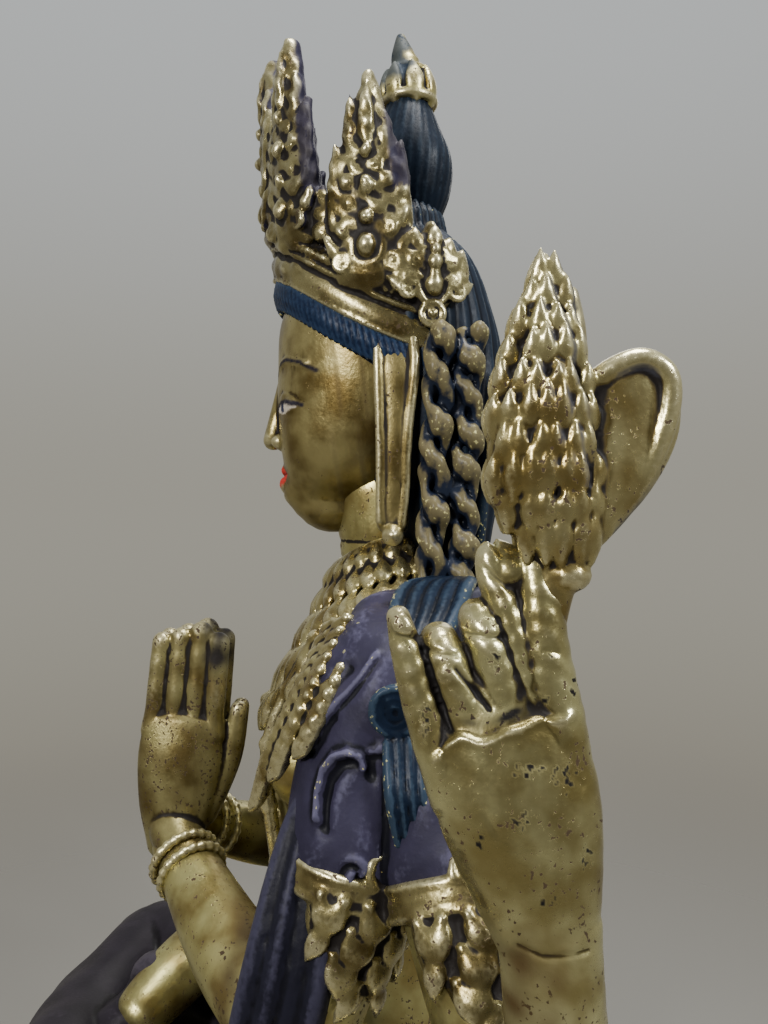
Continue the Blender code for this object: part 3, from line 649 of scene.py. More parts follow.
def sleeve_folds(x, y, z):
    outer = ramp((np.abs(x) - 11.5) / 1.0)
    lift = 0.38 * line_mark(y, z, S_FOLD, 0.17) - 0.20 * line_mark(y - 0.32, z + 0.36, S_FOLD, 0.26)
    for ridge in SLEEVE_RIDGES:
        lift = lift + 0.13 * line_mark(y, z, ridge, 0.13) - 0.08 * line_mark(y, z + 0.28, ridge, 0.16)
    for groove in SLEEVE_GROOVES:
        lift = lift - 0.14 * line_mark(y, z, groove, 0.24)
    turn, reach = np.arctan2(z - SWIRL[1], y - SWIRL[0]), np.hypot(y - SWIRL[0], z - SWIRL[1])
    lift = lift + 0.16 * np.sin(7.5 * reach - 2 * turn) * np.exp(-(reach / 0.75) ** 4)
    drape = 0.05 * np.sin(1.9 * y + 0.8 * z) + 0.035 * np.sin(3.3 * y - 1.1 * z + 0.6 * x)
    return outer * lift + drape * ramp((z - 24) / 2)


def strands_along(wax, rows, side, thick, count=4):
    """Narrow folds side by side, in place of one flat strip."""
    for fold in range(count):
        aside = (fold - (count - 1) / 2) / count * 2
        bent = []
        for x, y, z, width, depth in rows:
            push = Vector(side).normalized() * aside * width
            half = depth * thick * (1 + 0.25 * (fold % 2))
            bent.append((x + push.x, y + push.y, z + push.z, width / count * 1.25, half))
        form(wax, bent, side, 12, 5)


def shawl():
    cloth = painted("shawl_paint", CLOTH, CLOTH_LIGHT, CLOTH_DARK, 0.45)
    wax = bmesh.new()
    for rows in (SLEEVE, SLEEVE_BEHIND):
        both_sides(wax, rows, side=(0, 1, 0), sides=40, steps=6)
    skin_of("shawl_sleeves", wax, 0.0004, cloth, sleeve_folds)
    wax = bmesh.new()
    for hand in (LEFT, RIGHT):
        strands_along(wax, mirrored(SCARF, hand), (0.2 * hand, 1, 0), 0.95)
        strands_along(wax, mirrored(SCARF_TAIL, hand), (0.6 * hand, -0.5, 0.4), 0.9)
    strands_along(wax, BACK_DRAPE, UP, 0.9)
    scarf = painted("scarf_paint", SCARF_DARK, SCARF_LIGHT, CLOTH_DARK, 0.42)
    skin_of("shawl_folds", wax, 0.0005, scarf, floor=0.0)


shawl()

# The praying hands: pressed together before the breast on doubled bead bracelets, with straight fingers. The
# finger tips stand a little apart, and the nails are cut with the graver after casting.
PALM = [(0, 0, -0.6, 1.55, 1.25), (0, 0.1, 1.6, 2.15, 1.4), (0, 0.1, 4.2, 2.45, 1.25),
        (0, 0.0, 6.1, 2.3, 0.95)]
FINGERS = ((-1.80, 5.1, 0.50), (-0.62, 5.4, 0.55), (0.58, 5.8, 0.57), (1.72, 5.3, 0.55))
KNUCKLE_HEIGHT = 5.7
JOINTS = (0.46, 0.31, 0.23)
FOREARM_RUN = Vector((-5.5, -4.0, 2.9))
BRACELETS = ((3.4, -10.5, 21.0), (2.7, -11.1, 21.4))
BRACELET_RADIUS = 1.75
BRACELET_BEADS = 22
PRAYING_SHADED_GOLD = ((0.30, 0.265, 0.115), (0.115, 0.083, 0.027))


def finger(wax, root, length, thick, spread, bends):
    """A finger from its knuckle, with a nail. Each bend turns the next joint towards the palm."""
    angle = 0.0
    point = Vector(root)
    rows = [(*point, thick * 1.05, thick * 1.05)]
    for share, bend in zip(JOINTS, bends):
        angle += math.radians(bend)
        onward = Vector((math.sin(math.radians(spread)) * math.cos(angle), -math.sin(angle), math.cos(angle)))
        halfway = point + onward * length * share * 0.5
        rows.append((*halfway, thick * (0.97 - 0.25 * share), thick * 0.88))
        point = point + onward * length * share
        rows.append((*point, thick * (1 - 0.25 * share), thick * 0.95))
    form(wax, rows, sides=16, steps=4)
    out = Vector((0, math.cos(angle), math.sin(angle)))
    nail = point - onward * length * 0.05 + out * thick * 0.62
    turn = ring_frame((0, 0, 0), onward.cross(out), out, onward)
    ball(wax, nail, (thick * 0.55, thick * 0.30, thick * 0.85), 12, turn)


def hand_on(wax, frame, spreads, bends, thumb, plump=1.0):
    """frame holds the hand's three axes and its wrist."""
    shape = bmesh.new()
    form(shape, PALM, sides=28)
    for (across, length, thick), spread, bend in zip(FINGERS, spreads, bends):
        finger(shape, (across, 0, KNUCKLE_HEIGHT), length, thick * plump, spread, bend)
    form(shape, thumb, sides=18)
    bmesh.ops.transform(shape, matrix=frame, verts=shape.verts)
    add_to(wax, shape)


def bead_ring(wax, middle, across, onward, count, radius):
    for i in range(count):
        turn = 2 * math.pi * i / count
        bead(wax, Vector(middle) + across * math.cos(turn) + onward * math.sin(turn), radius)


def praying_paint(x, y, z, normals):
    """Black old dirt on the tips of the fingers nearest the breast, and thin brown smears on the palms that
    are dirt and painted shade both.
    """
    blotch = 0.5 + 0.5 * np.sin(2.9 * y + 1.3 * z) * np.sin(1.9 * z - 2.3 * y)
    tips = ramp((y + 10.6) / 0.4) * ramp((z - 30.6) / 1.6) * (0.65 + 0.5 * blotch)
    # The brown smears darken the palms: dirt, and painted shade.
    colours = over(np.zeros((len(x), 4)), 0.40 * blotch * (z > 23), ARM_SHADE_AND_DIRT)
    return over(colours, tips, PATINA)


def praying_hands():
    wax = bmesh.new()
    for side in (LEFT, RIGHT):
        wrist = Vector((side * 0.95, -12.1, 22.3))
        along = Vector((0, 0.09, 1)).normalized()
        thumbward = Vector((0, 1, -0.09)).normalized()
        frame = ring_frame(wrist, thumbward, Vector((side * 0.85, 0, 0)), along)
        thumb = [(1.5, -0.3, 1.2, 0.9, 0.85), (2.6, -0.5, 4.2, 0.72, 0.7), (3.0, -0.6, 7.2, 0.5, 0.5)]
        hand_on(wax, frame, (1.5, 0.5, -0.5, -1.5), ((0, 2, 1),) * 4, thumb, 1.27)
        form(wax, [(side * 3.2, -10.6, 21.2, 1.45, 1.5), (side * 1.4, -12.0, 22.6, 1.35, 1.4)],
             side=UP, sides=28)
    # The praying hands' gold is darker than the rest, as painted shade.
    gold = gilt("praying_hand_shaded_gilt", *PRAYING_SHADED_GOLD, speck=0.64, roughness=0.30, patina_from=0.10, marked=True)
    skin_of("praying_hands", wax, 0.0003, gold, paint=praying_paint)
    wax = bmesh.new()
    for side in (LEFT, RIGHT):
        for place in BRACELETS:
            along = Vector(to_side(FOREARM_RUN, side)).normalized()
            across = along.cross(UP).normalized() * BRACELET_RADIUS
            bead_ring(wax, to_side(place, side), across, along.cross(across), BRACELET_BEADS, 0.30)
    skin_of("bracelets", wax, 0.00026, gilt("bracelet_gilt"))


praying_hands()

# The raised left hand: it holds the lotus stem between thumb and forefinger, folds the next two fingers down
# and keeps the little finger straight. Its gilding has rubbed to a pale gold, with black left in every
# crease, and the black in the slits and under the folded fingers is painted shade as well.
WRIST = [(20.7, 5.9, 22.0, 1.75, 1.7), (20.9, 5.65, 25.0, 1.72, 1.5), (21.0, 5.5, 27.0, 1.78, 1.3)]
HAND_PAD = [(21.0, 5.5, 26.4, 1.72, 1.25), (21.05, 5.0, 28.8, 2.35, 1.45), (21.1, 4.5, 31.0, 2.72, 1.5),
            (21.05, 4.1, 32.9, 2.6, 1.25), (21.0, 3.95, 34.0, 2.35, 1.0), (20.95, 3.9, 34.9, 2.0, 0.75)]
LITTLE_FINGER = [(21.05, 2.3, 31.2, 0.80, 0.8), (21.0, 1.65, 33.0, 0.72, 0.76),
                 (20.95, 1.15, 34.6, 0.64, 0.68), (20.9, 0.78, 36.0, 0.56, 0.60),
                 (20.85, 0.48, 37.15, 0.42, 0.46)]
RING_FINGER = [(21.1, 3.1, 32.4, 0.78, 0.8), (21.1, 2.65, 34.2, 0.74, 0.76), (21.0, 2.05, 35.8, 0.70, 0.72),
               (20.3, 1.85, 36.3, 0.64, 0.66), (19.5, 2.1, 35.2, 0.56, 0.55), (19.6, 2.3, 34.0, 0.42, 0.4)]
MIDDLE_FINGER = [(21.1, 4.2, 32.8, 0.76, 0.8), (21.15, 3.95, 34.6, 0.74, 0.78),
                 (21.05, 3.35, 36.6, 0.68, 0.72), (20.4, 3.15, 37.1, 0.64, 0.66),
                 (19.5, 3.3, 36.0, 0.54, 0.52), (19.6, 3.4, 34.6, 0.42, 0.4)]
FOREFINGER = [(21.1, 5.1, 33.2, 0.72, 0.8), (21.1, 4.65, 35.2, 0.64, 0.74), (20.95, 4.1, 37.2, 0.58, 0.66),
              (20.7, 3.62, 38.6, 0.52, 0.56), (20.55, 3.65, 39.35, 0.46, 0.46),
              (20.5, 4.5, 39.1, 0.40, 0.42)]
THUMB = [(21.0, 6.1, 30.6, 1.1, 1.1), (21.05, 5.8, 33.4, 0.98, 1.0), (21.05, 5.35, 35.8, 0.90, 0.92),
         (20.95, 5.2, 37.6, 0.78, 0.78), (20.8, 5.0, 39.0, 0.55, 0.55)]
KNUCKLE_RIDGE = ((0.9, 32.2), (1.65, 32.75), (2.05, 33.25), (2.45, 33.5), (3.0, 33.4), (3.6, 33.5),
                 (4.1, 33.75), (4.6, 33.95), (5.2, 34.05), (6.4, 34.3))
FINGER_SLITS = (((1.15, 36.6), (1.6, 35.2), (2.15, 33.6)), ((2.35, 35.6), (2.95, 34.9), (3.4, 34.3)),
                ((3.75, 37.2), (4.2, 35.8), (4.75, 34.4)))
CREASES = (((0.35, 36.65), (1.2, 36.5)), ((3.3, 38.9), (4.1, 38.2)), ((1.3, 36.2), (2.4, 36.0)),
           ((2.7, 36.7), (3.85, 36.6)), ((4.3, 26.75), (5.05, 26.5), (6.6, 26.6)),
           ((5.2, 36.2), (5.6, 36.15)))
PAD_MARKS = (((4.1, 32.6), (5.2, 32.7)), ((6.0, 32.3), (6.4, 31.9)), ((3.2, 31.2), (3.5, 30.6)))
LITTLE_NAIL = (21.35, 0.62, 36.9)
FORE_NAIL = (20.95, 3.62, 39.0)
SLIT_DEPTHS = (0.13, 0.12, 0.05)
SLIT_BLACKS_AND_SHADE = (1.2, 1.0, 0.35)
BLOTS = ((5.8, 32.2, 0.55, 0.75), (4.5, 32.5, 0.75, 0.35), (4.3, 31.0, 0.40, 0.60), (1.35, 33.9, 0.30, 0.90),
         (3.6, 36.0, 0.35, 0.55), (5.5, 36.1, 0.35, 0.20), (6.5, 29.6, 0.35, 0.70), (3.0, 30.2, 0.30, 0.50),
         (5.2, 28.4, 0.60, 0.35), (6.2, 35.0, 0.35, 0.60), (5.1, 34.6, 0.50, 0.30))
HAND_BLACK = (0.008, 0.007, 0.007)
HAND_BROWN = (0.060, 0.040, 0.016)
HAND_GOLD = ((0.45, 0.42, 0.21), (0.215, 0.175, 0.066))
PALM_BALL = ((20.8, 5.9, 30.4), (1.25, 1.35, 2.6))


def blots(y, z):
    """Ragged black blots, at home in a few areas of the hand's outer face."""
    grain = (0.55 + 0.25 * np.sin(15.1 * y + 4.3 * z + 2 * np.sin(5.9 * z))
             + 0.25 * np.sin(17.7 * z - 9.1 * y + 2 * np.sin(12.3 * y)))
    area = sum(np.exp(-((y - across) / wide) ** 2 - ((z - up) / tall) ** 2)
               for across, up, wide, tall in BLOTS)
    return ramp((np.minimum(area, 1) * grain - 0.50) / 0.10)


def hand_paint(x, y, z, normals):
    """Black left in the slits, under the fingers and in a few cuts, and brown dirt round the wrist. In the
    slits and under the fingers the black is also painted shade of the deep gaps.
    """
    colours = np.zeros((len(x), 4))
    wobble = 0.5 + 0.5 * np.sin(3.1 * y + 1.7 * z) * np.sin(2.3 * z - 1.9 * y)
    wrist = ramp((28.0 - z) / 1.4) * np.clip((7.4 - y) / 2.4, 0.25, 1) * (0.50 + 0.5 * wobble)
    colours = over(colours, wrist, HAND_BROWN)
    # Black just above the knuckle ridge, under the folded fingers: old black, and painted shade of the gap.
    above = z - np.interp(y, *zip(*KNUCKLE_RIDGE))
    web_black_and_shade = np.exp(-((above - 0.42) / 0.24) ** 2) * ramp((y - 1.5) / 0.4) * ramp((5.0 - y) / 0.5)
    colours = over(colours, web_black_and_shade * (0.35 + 0.9 * wobble), HAND_BLACK)
    # Black in the finger slits: old black, and painted shade of the deep gaps between the fingers.
    for slit, cover in zip(FINGER_SLITS, SLIT_BLACKS_AND_SHADE):
        colours = over(colours, cover * line_mark(y, z, slit, 0.12), HAND_BLACK)
    for crease in CREASES[:4]:
        colours = over(colours, 0.8 * line_mark(y, z, crease, 0.07), HAND_BLACK)
    return over(colours, blots(y, z), HAND_BLACK)


def hand_relief(x, y, z):
    """The cut and cast marks of the hand's outer face: the knuckle ridge, finger slits and skin creases."""
    outer = ramp((x - 20.9) / 0.3)
    above = ramp((z - 33.0) / 1.5)
    below_ridge = np.interp(y, *zip(*KNUCKLE_RIDGE)) + 0.05 * np.sin(5.3 * y) - z
    within = ramp((y - 1.35) / 0.5) * ramp((6.3 - y) / 0.5)
    lift = 0.15 * within / (1 + np.exp(-below_ridge / 0.045)) * np.exp(-below_ridge.clip(0) / 2.2)
    lift = lift + 0.05 * within * np.exp(-((below_ridge - 0.13) / 0.13) ** 2)
    for slit, depth in zip(FINGER_SLITS, SLIT_DEPTHS):
        lift = lift - depth * line_mark(y, z, slit, 0.09)
    for crease in CREASES:
        lift = lift - 0.07 * line_mark(y, z, crease, 0.09)
    for mark in PAD_MARKS:
        lift = lift - 0.03 * line_mark(y, z, mark, 0.12)
    wrinkles = 0.012 * np.sin(9 * z + 3 * np.sin(2.2 * y)) * above
    ripple = 0.010 * np.sin(5.1 * y + 2.0 * z) * np.sin(4.3 * z - 1.1 * y)
    return outer * (lift + wrinkles) + ripple


def raised_left_hand():
    wax = bmesh.new()
    for rows in (WRIST, HAND_PAD):
        form(wax, rows, side=(0, 1, 0), sides=40, steps=6)
    for rows in (LITTLE_FINGER, RING_FINGER, MIDDLE_FINGER, FOREFINGER, THUMB):
        form(wax, rows, side=(0, 1, 0), sides=24, steps=5)
    ball(wax, *PALM_BALL, 28)
    ball(wax, (20.9, 5.35, 37.6), (0.8, 0.75, 0.9), 20)
    ball(wax, (20.8, 4.25, 38.65), (0.5, 0.65, 0.65), 20)
    for place, tilt in ((LITTLE_NAIL, 18), (FORE_NAIL, 25)):
        ball(wax, place, (0.20, 0.36, 0.50), 16, Matrix.Rotation(math.radians(tilt), 4, "X"))
    gold = gilt("raised_hand_gilt", *HAND_GOLD, speck=0.675, roughness=0.23, patina_from=0.26, marked=True)
    skin_of("raised_left_hand", wax, 0.00024, gold, hand_relief, paint=hand_paint, passes=1, kept=1)


raised_left_hand()

# The raised right hand: the mirror of the left one, and holding a loop of prayer beads over its folded
# fingers.
BEADS = 26
ROSARY_TOP = Vector((-22.2, 5.0, 33.4))
BEAD_GOLD = ((0.33, 0.27, 0.12), (0.14, 0.10, 0.035))


def raised_right_hand():
    wax = bmesh.new()
    for rows in (WRIST, HAND_PAD):
        form(wax, mirrored(rows, RIGHT), side=(0, 1, 0), sides=32)
    for rows in (LITTLE_FINGER, RING_FINGER, MIDDLE_FINGER, FOREFINGER, THUMB):
        form(wax, mirrored(rows, RIGHT), side=(0, 1, 0), sides=18)
    place, radii = PALM_BALL
    ball(wax, to_side(place, RIGHT), radii, 24)
    gold = gilt("right_hand_gilt")
    skin_of("raised_right_hand", wax, 0.0004, gold, lambda x, y, z: hand_relief(-x, y, z), passes=1)
    wax = bmesh.new()
    for i in range(BEADS):
        turn = 2 * math.pi * i / BEADS
        drop = Vector((-0.12 * math.sin(turn), 2.1 * math.sin(turn), -4.6 * (1 - math.cos(turn))))
        bead(wax, ROSARY_TOP + drop, 0.62, 14)
    skin_of("rosary", wax, 0.00026, gilt("bead_gilt", *BEAD_GOLD))


raised_right_hand()

# The lotus: its stem rises from the fingers beside the shoulder to a tall bud of small overlapping petals,
# and one broad leaf curls back behind it. The gold is pale on the petals, and their edge at the back is left
# dark.
STEM = [(20.8, 5.3, 36.5, 0.72, 0.7), (20.9, 5.7, 38.4, 0.78, 0.75), (21.0, 6.3, 39.8, 1.0, 0.85)]
BUD = [(20.9, 5.9, 39.4, 1.15, 0.8), (20.9, 5.3, 41.6, 1.75, 1.1), (20.9, 5.2, 44.0, 1.65, 1.1),
       (20.9, 5.3, 46.2, 1.15, 0.85), (20.9, 5.35, 47.8, 0.7, 0.55), (20.9, 5.3, 49.1, 0.3, 0.3)]
SECOND_TIP = [(20.8, 6.0, 45.4, 0.9, 0.6), (20.8, 6.2, 46.9, 0.6, 0.5), (20.8, 6.25, 48.0, 0.32, 0.3)]
BROAD_LEAF = [(20.9, 6.6, 40.3, 1.0, 0.7), (20.9, 7.5, 42.0, 1.55, 0.62), (20.9, 8.1, 43.6, 1.8, 0.52),
              (20.9, 8.3, 44.8, 1.6, 0.5), (20.9, 8.35, 45.5, 0.95, 0.45)]
LEAF_RIM = ((20.9, 6.75, 44.3), (21.0, 7.0, 44.95), (21.15, 7.7, 45.5), (21.2, 8.6, 45.75),
            (21.2, 9.35, 45.3), (21.15, 9.5, 44.4), (21.1, 9.2, 43.2), (21.0, 8.7, 42.0), (20.9, 8.0, 40.9),
            (20.9, 7.1, 39.9))
PETAL_ROWS = ((39.8, 5), (40.8, 6), (41.8, 7), (42.8, 6), (43.8, 7), (44.8, 6), (45.8, 5), (46.7, 4),
              (47.6, 3), (48.3, 2))
PETAL_SPAN = 0.53
PETAL_SHAPE = (0.5, 0.95, 1.0, 0.62, 0.08)
LOTUS_DARK = (0.045, 0.045, 0.055)
LOTUS_GOLD = ((0.43, 0.385, 0.19), (0.21, 0.155, 0.052))
LOTUS_ACROSS = 20.9


def leaf(wax, base, tip, face, width, thick, lift=0.0, sides=10, shape=(0.45, 0.9, 1.0, 0.72, 0.12)):
    """A leaf or petal from base to tip that faces a way and bows out that way by lift."""
    base, tip, face = Vector(base), Vector(tip), Vector(face).normalized()
    rows = []
    for i, share in enumerate(shape):
        t = i / (len(shape) - 1)
        point = base.lerp(tip, t) + face * lift * math.sin(math.pi * t)
        rows.append((*point, width * share, thick * (1 - 0.45 * t)))
    form(wax, rows, (tip - base).cross(face), sides, 3)


def lotus_paint(x, y, z, normals):
    """Dark bare metal on the bud's edge that looks back, and under the broad leaf."""
    back = ramp((normals[:, 1] - 0.35) / 0.35) * ramp((7.0 - y) / 0.6) * (z > 41.5)
    under = ramp((-normals[:, 2] - 0.30) / 0.3) * (y > 7.6)
    return laid(LOTUS_DARK, np.maximum(back, under) * 0.9)


def lotus():
    wax = bmesh.new()
    for rows in (STEM, BUD, SECOND_TIP, BROAD_LEAF):
        form(wax, rows, side=(0, 1, 0), sides=28, steps=6)
    heights, middles, widths, depths = zip(*[(row[2], row[1], row[3], row[4]) for row in BUD])
    for row, (height, count) in enumerate(PETAL_ROWS):
        middle, width, depth = (np.interp(height, heights, values) for values in (middles, widths, depths))
        for i in range(count):
            aside = (i - (count - 1) / 2) * PETAL_SPAN + 0.07 * math.sin(9 * i + 5 * row)
            share = min(abs(aside) / width, 0.93)
            out = depth * math.sqrt(1 - share**2)
            for face in (LEFT, RIGHT):
                base = (LOTUS_ACROSS + face * (out - 0.08), middle + aside, height - 0.70)
                top = height + 0.90 + 0.15 * math.sin(7 * i + 3 * row)
                tip = (LOTUS_ACROSS + face * (out + 0.26), middle + aside * 1.02, top)
                leaf(wax, base, tip, (face, 0.45 * aside, 0.1), 0.34, 0.24, 0.14, 12, PETAL_SHAPE)
    form(wax, [(*point, 0.42, 0.40) for point in LEAF_RIM], side=(1, 0, 0), sides=14, steps=5)
    ball(wax, (21.2, 6.1, 38.6), (0.72, 0.8, 0.6), 16)
    gold = gilt("lotus_gilt", *LOTUS_GOLD, speck=0.67, roughness=0.24, patina_from=0.26, marked=True)
    skin_of("lotus", wax, 0.00025, gold, paint=lotus_paint, passes=1, kept=0.7)


lotus()

# The head: a smooth oval with the calm, even face that the type calls for, turned straight ahead with
# lowered lids. It is gilt, with some brown streaks, and the eyes, brows and lips are painted on in oil
# colour.
HEAD = [(0, -3.0, 41.4, 1.9, 2.2), (0, -2.0, 42.8, 3.5, 3.7), (0, -1.2, 45, 4.6, 4.8),
        (0, -0.7, 48, 5.1, 5.5), (0, -0.5, 52, 5.1, 5.3), (0, 0.0, 54.8, 4.2, 4.3), (0, 0.5, 56.2, 2.3, 2.4)]
NOSE = [(0, -5.75, 48.6, 0.42, 0.4), (0, -6.05, 47.2, 0.45, 0.45), (0, -6.35, 45.8, 0.55, 0.5),
        (0, -6.5, 44.9, 0.68, 0.58)]
NOSE_WING = (0.72, -5.95, 44.75)
BROW = [(0.9, -5.8, 48.5, 0.26, 0.34), (2.3, -5.35, 49.1, 0.28, 0.36), (3.9, -4.1, 48.7, 0.2, 0.26)]
UPPER_LID = [(1.0, -5.55, 46.75, 0.20, 0.30), (2.2, -5.30, 47.25, 0.42, 0.42),
             (3.5, -4.35, 46.95, 0.18, 0.25)]
LOWER_LID = [(1.1, -5.50, 46.25, 0.14, 0.22), (2.2, -5.20, 46.05, 0.24, 0.28),
             (3.4, -4.35, 46.45, 0.14, 0.2)]
EYEBALL = ((2.2, -4.95, 46.65), (1.15, 0.62, 0.62))
UPPER_LIP = [(-1.35, -4.95, 43.15, 0.14, 0.2), (-0.5, -5.52, 43.2, 0.30, 0.36), (0, -5.60, 43.1, 0.26, 0.36),
             (0.5, -5.52, 43.2, 0.30, 0.36), (1.35, -4.95, 43.15, 0.14, 0.2)]
LOWER_LIP = [(-1.1, -4.90, 42.75, 0.14, 0.2), (0, -5.45, 42.45, 0.36, 0.42), (1.1, -4.90, 42.75, 0.14, 0.2)]
SWELLS = ((0.0, 41.7, 1.3, 0.9, 0.55), (2.7, 44.6, 1.7, 1.8, 0.28), (0.0, 51.2, 3.0, 1.6, 0.12))
EYE_MIDDLE, EYE_HALF_WIDTH, EYE_HALF_HEIGHT = (2.25, 46.50), 1.20, 0.31
RED, WHITE, IRIS, LINE = ((0.42, 0.030, 0.022), (0.50, 0.44, 0.36), (0.020, 0.024, 0.05),
                          (0.012, 0.010, 0.016))
LIP_SEAM = (0.09, 0.008, 0.008)
PAINTED_BROW = ((0.85, 48.35), (1.7, 48.95), (2.7, 49.15), (3.7, 48.85), (4.3, 48.3))
FACE_GOLD_PARTLY_SHADED = ((0.33, 0.28, 0.120), (0.125, 0.088, 0.028))


def face_paint(x, y, z, normals):
    streak = (0.5 + 0.5 * np.sin(4.3 * y + 0.8 * np.sin(0.9 * z))) * (0.5 + 0.5 * np.sin(9.1 * y + 1.3 * z))
    streak = ramp(streak * 1.4 - 0.2) * ramp((y + 4.4) / 2.5) * 0.55
    colours = over(np.zeros((len(x), 4)), streak, HAND_BROWN)
    front = ramp((-2.5 - y) / 0.5)
    across, up = (np.abs(x) - EYE_MIDDLE[0]) / EYE_HALF_WIDTH, (z - EYE_MIDDLE[1]) / EYE_HALF_HEIGHT
    almond = 1 - across**2 - np.abs(up)
    colours = over(colours, front * ramp(almond / 0.12 + 0.5), WHITE)
    iris = 1 - np.hypot(np.abs(x) - EYE_MIDDLE[0] + 0.05, (z - EYE_MIDDLE[1] - 0.08)) / 0.36
    colours = over(colours, front * ramp(iris / 0.1) * (almond > 0), IRIS)
    lid = [(EYE_MIDDLE[0] + t * 1.38, EYE_MIDDLE[1] + 0.34 * (1 - t * t) + 0.03)
           for t in np.linspace(-1, 1, 9)]
    colours = over(colours, front * line_mark(np.abs(x), z, lid, 0.13) * 1.6, LINE)
    colours = over(colours, front * line_mark(np.abs(x), z, PAINTED_BROW, 0.14) * 1.2, LINE)
    lips = 1 - (x / 1.35) ** 2 - np.abs((z - 42.88) / 0.66)
    colours = over(colours, (y < -4.6) * ramp(lips / 0.15), RED)
    seam = line_mark(x, z, ((-1.2, 42.95), (0, 42.82), (1.2, 42.95)), 0.07)
    colours = over(colours, (y < -4.6) * seam, LIP_SEAM)
    return over(colours, ramp((z - 54.0) / 0.4), LINE)


def face_relief(x, y, z):
    front = ramp((-3.0 - y) / 0.6)
    swell = sum(rise * np.exp(-((np.abs(x) - aside) / wide) ** 2 - ((z - height) / tall) ** 2)
                for aside, height, wide, tall, rise in SWELLS) * ramp((-1.0 - y) / 2.5)
    fold = [(EYE_MIDDLE[0] + t * 1.5, EYE_MIDDLE[1] + 0.95 * (1 - 0.8 * t * t))
            for t in np.linspace(-1, 1, 9)]
    lift = -0.05 * line_mark(np.abs(x), z, fold, 0.09) - 0.06 * line_mark(x, z, ((0, 43.55), (0, 44.2)), 0.14)
    lift = lift - 0.06 * line_mark(x, z, ((-1.2, 42.92), (0, 42.82), (1.2, 42.92)), 0.08)
    nostril = 0.12 * line_mark(np.abs(x), z, ((0.36, 44.48), (0.62, 44.5)), 0.14) * (y < -5.6)
    return front * (lift - nostril) + swell


def head():
    wax = bmesh.new()
    form(wax, HEAD, sides=64, steps=8, upright=True)
    form(wax, NOSE, sides=20)
    for rows in (UPPER_LIP, LOWER_LIP):
        form(wax, rows, side=UP, sides=16)
    for rows in (BROW, UPPER_LID, LOWER_LID):
        both_sides(wax, rows, side=UP, sides=14)
    for hand in (LEFT, RIGHT):
        ball(wax, to_side(EYEBALL[0], hand), EYEBALL[1], 24)
        ball(wax, to_side(NOSE_WING, hand), (0.46, 0.55, 0.42), 14)
    # The face's gold is darker than the rest, partly as painted shade on the cheeks.
    gold = gilt("face_gilt", *FACE_GOLD_PARTLY_SHADED, speck=0.74, roughness=0.32, patina_from=0.35, marked=True)
    skin_of("head", wax, 0.00033, gold, face_relief, paint=face_paint, kept=1)


head()

# The ears: long lobes that hang past the jaw behind raised rims, with a jewelled stud at each lobe.
EAR = [(4.9, 0.5, 50.2, 0.5, 0.95), (5.4, 0.6, 48.2, 0.55, 1.15), (5.45, 0.6, 45, 0.5, 0.85),
       (5.35, 0.5, 42.0, 0.5, 0.8), (5.25, 0.45, 40.0, 0.5, 0.85)]
EAR_RIMS = ([(5.35, -0.35, 50.4, 0.26, 0.3), (5.75, -0.3, 48.0, 0.24, 0.28), (5.75, -0.2, 44.0, 0.22, 0.26),
             (5.6, -0.2, 40.2, 0.22, 0.26)],
            [(5.35, 1.4, 50.6, 0.26, 0.3), (5.8, 1.6, 48.4, 0.26, 0.3), (5.8, 1.25, 45.0, 0.24, 0.28),
             (5.65, 1.1, 41.8, 0.22, 0.26), (5.6, 0.9, 40.0, 0.22, 0.26)])
EAR_GOLD = ((0.25, 0.205, 0.085), (0.095, 0.070, 0.024))


def ears():
    wax = bmesh.new()
    both_sides(wax, EAR, sides=20)
    for rows in EAR_RIMS:
        both_sides(wax, rows, sides=12)
    for hand in (LEFT, RIGHT):
        ball(wax, (hand * 5.6, 0.45, 39.5), (0.42, 0.58, 0.62), 18)
        ball(wax, (hand * 5.95, 0.45, 39.5), (0.24, 0.3, 0.3), 14)
    skin_of("ears", wax, 0.00026, gilt("ear_gilt", *EAR_GOLD, patina_from=-0.02))


ears()

# The hair: dark blue paint over the metal. A combed fringe of short ribs shows under the crown, the long
# hair hangs behind, twisted locks fall by the ears, and strands cross each shoulder to a coil with a short
# tress below it.
HAIR = [(0, 3.4, 37.5, 4.4, 2.0), (0, 2.4, 43, 5.2, 3.7), (0, 1.6, 49, 5.65, 5.25), (0, 1.2, 53, 5.6, 4.8),
        (0, 1.1, 55.2, 4.5, 4.0), (0, 1.2, 56.8, 2.5, 2.5)]
BACK_HAIR = [(0, 5.4, 50.0, 3.6, 1.0), (0, 5.8, 44.0, 4.2, 1.0), (0, 5.0, 38.0, 4.4, 0.9),
             (0, 5.2, 33.0, 3.8, 0.8), (0, 5.0, 29.0, 2.6, 0.7)]
BAND_HALF_WIDTH, BAND_HALF_DEPTH, BAND_SET = 5.4, 6.4, 0.4
BAND_RUN = range(-112, 113, 8)
FRINGE_SPAN, FRINGE_STEP, FRINGE_LEAN = 210, 3.1, 2.2
LOCKS = ((6.0, 2.9), (5.7, 4.5))
LOCK_TOP, LOCK_FOOT, LOCK_TURNS = 50.0, 36.8, 7
COIL_MIDDLE = (14.25, 0.45, 32.4)
COIL_RINGS = ((0.95, 0.20), (0.60, 0.18), (0.26, 0.18))
TRESS = ((0.15, 31.0, 0.55, 27.2), (0.60, 31.1, 1.0, 27.0), (1.05, 31.1, 1.45, 27.1),
         (1.50, 31.0, 1.9, 27.5))
SHOULDER_STRANDS = 5
NAVY = (0.004, 0.007, 0.013)
NAVY_LIGHT = (0.013, 0.021, 0.033)
NAVY_DARK = (0.002, 0.003, 0.006)
FRINGE_BLUE, FRINGE_LIGHT = (0.003, 0.007, 0.020), (0.013, 0.026, 0.056)
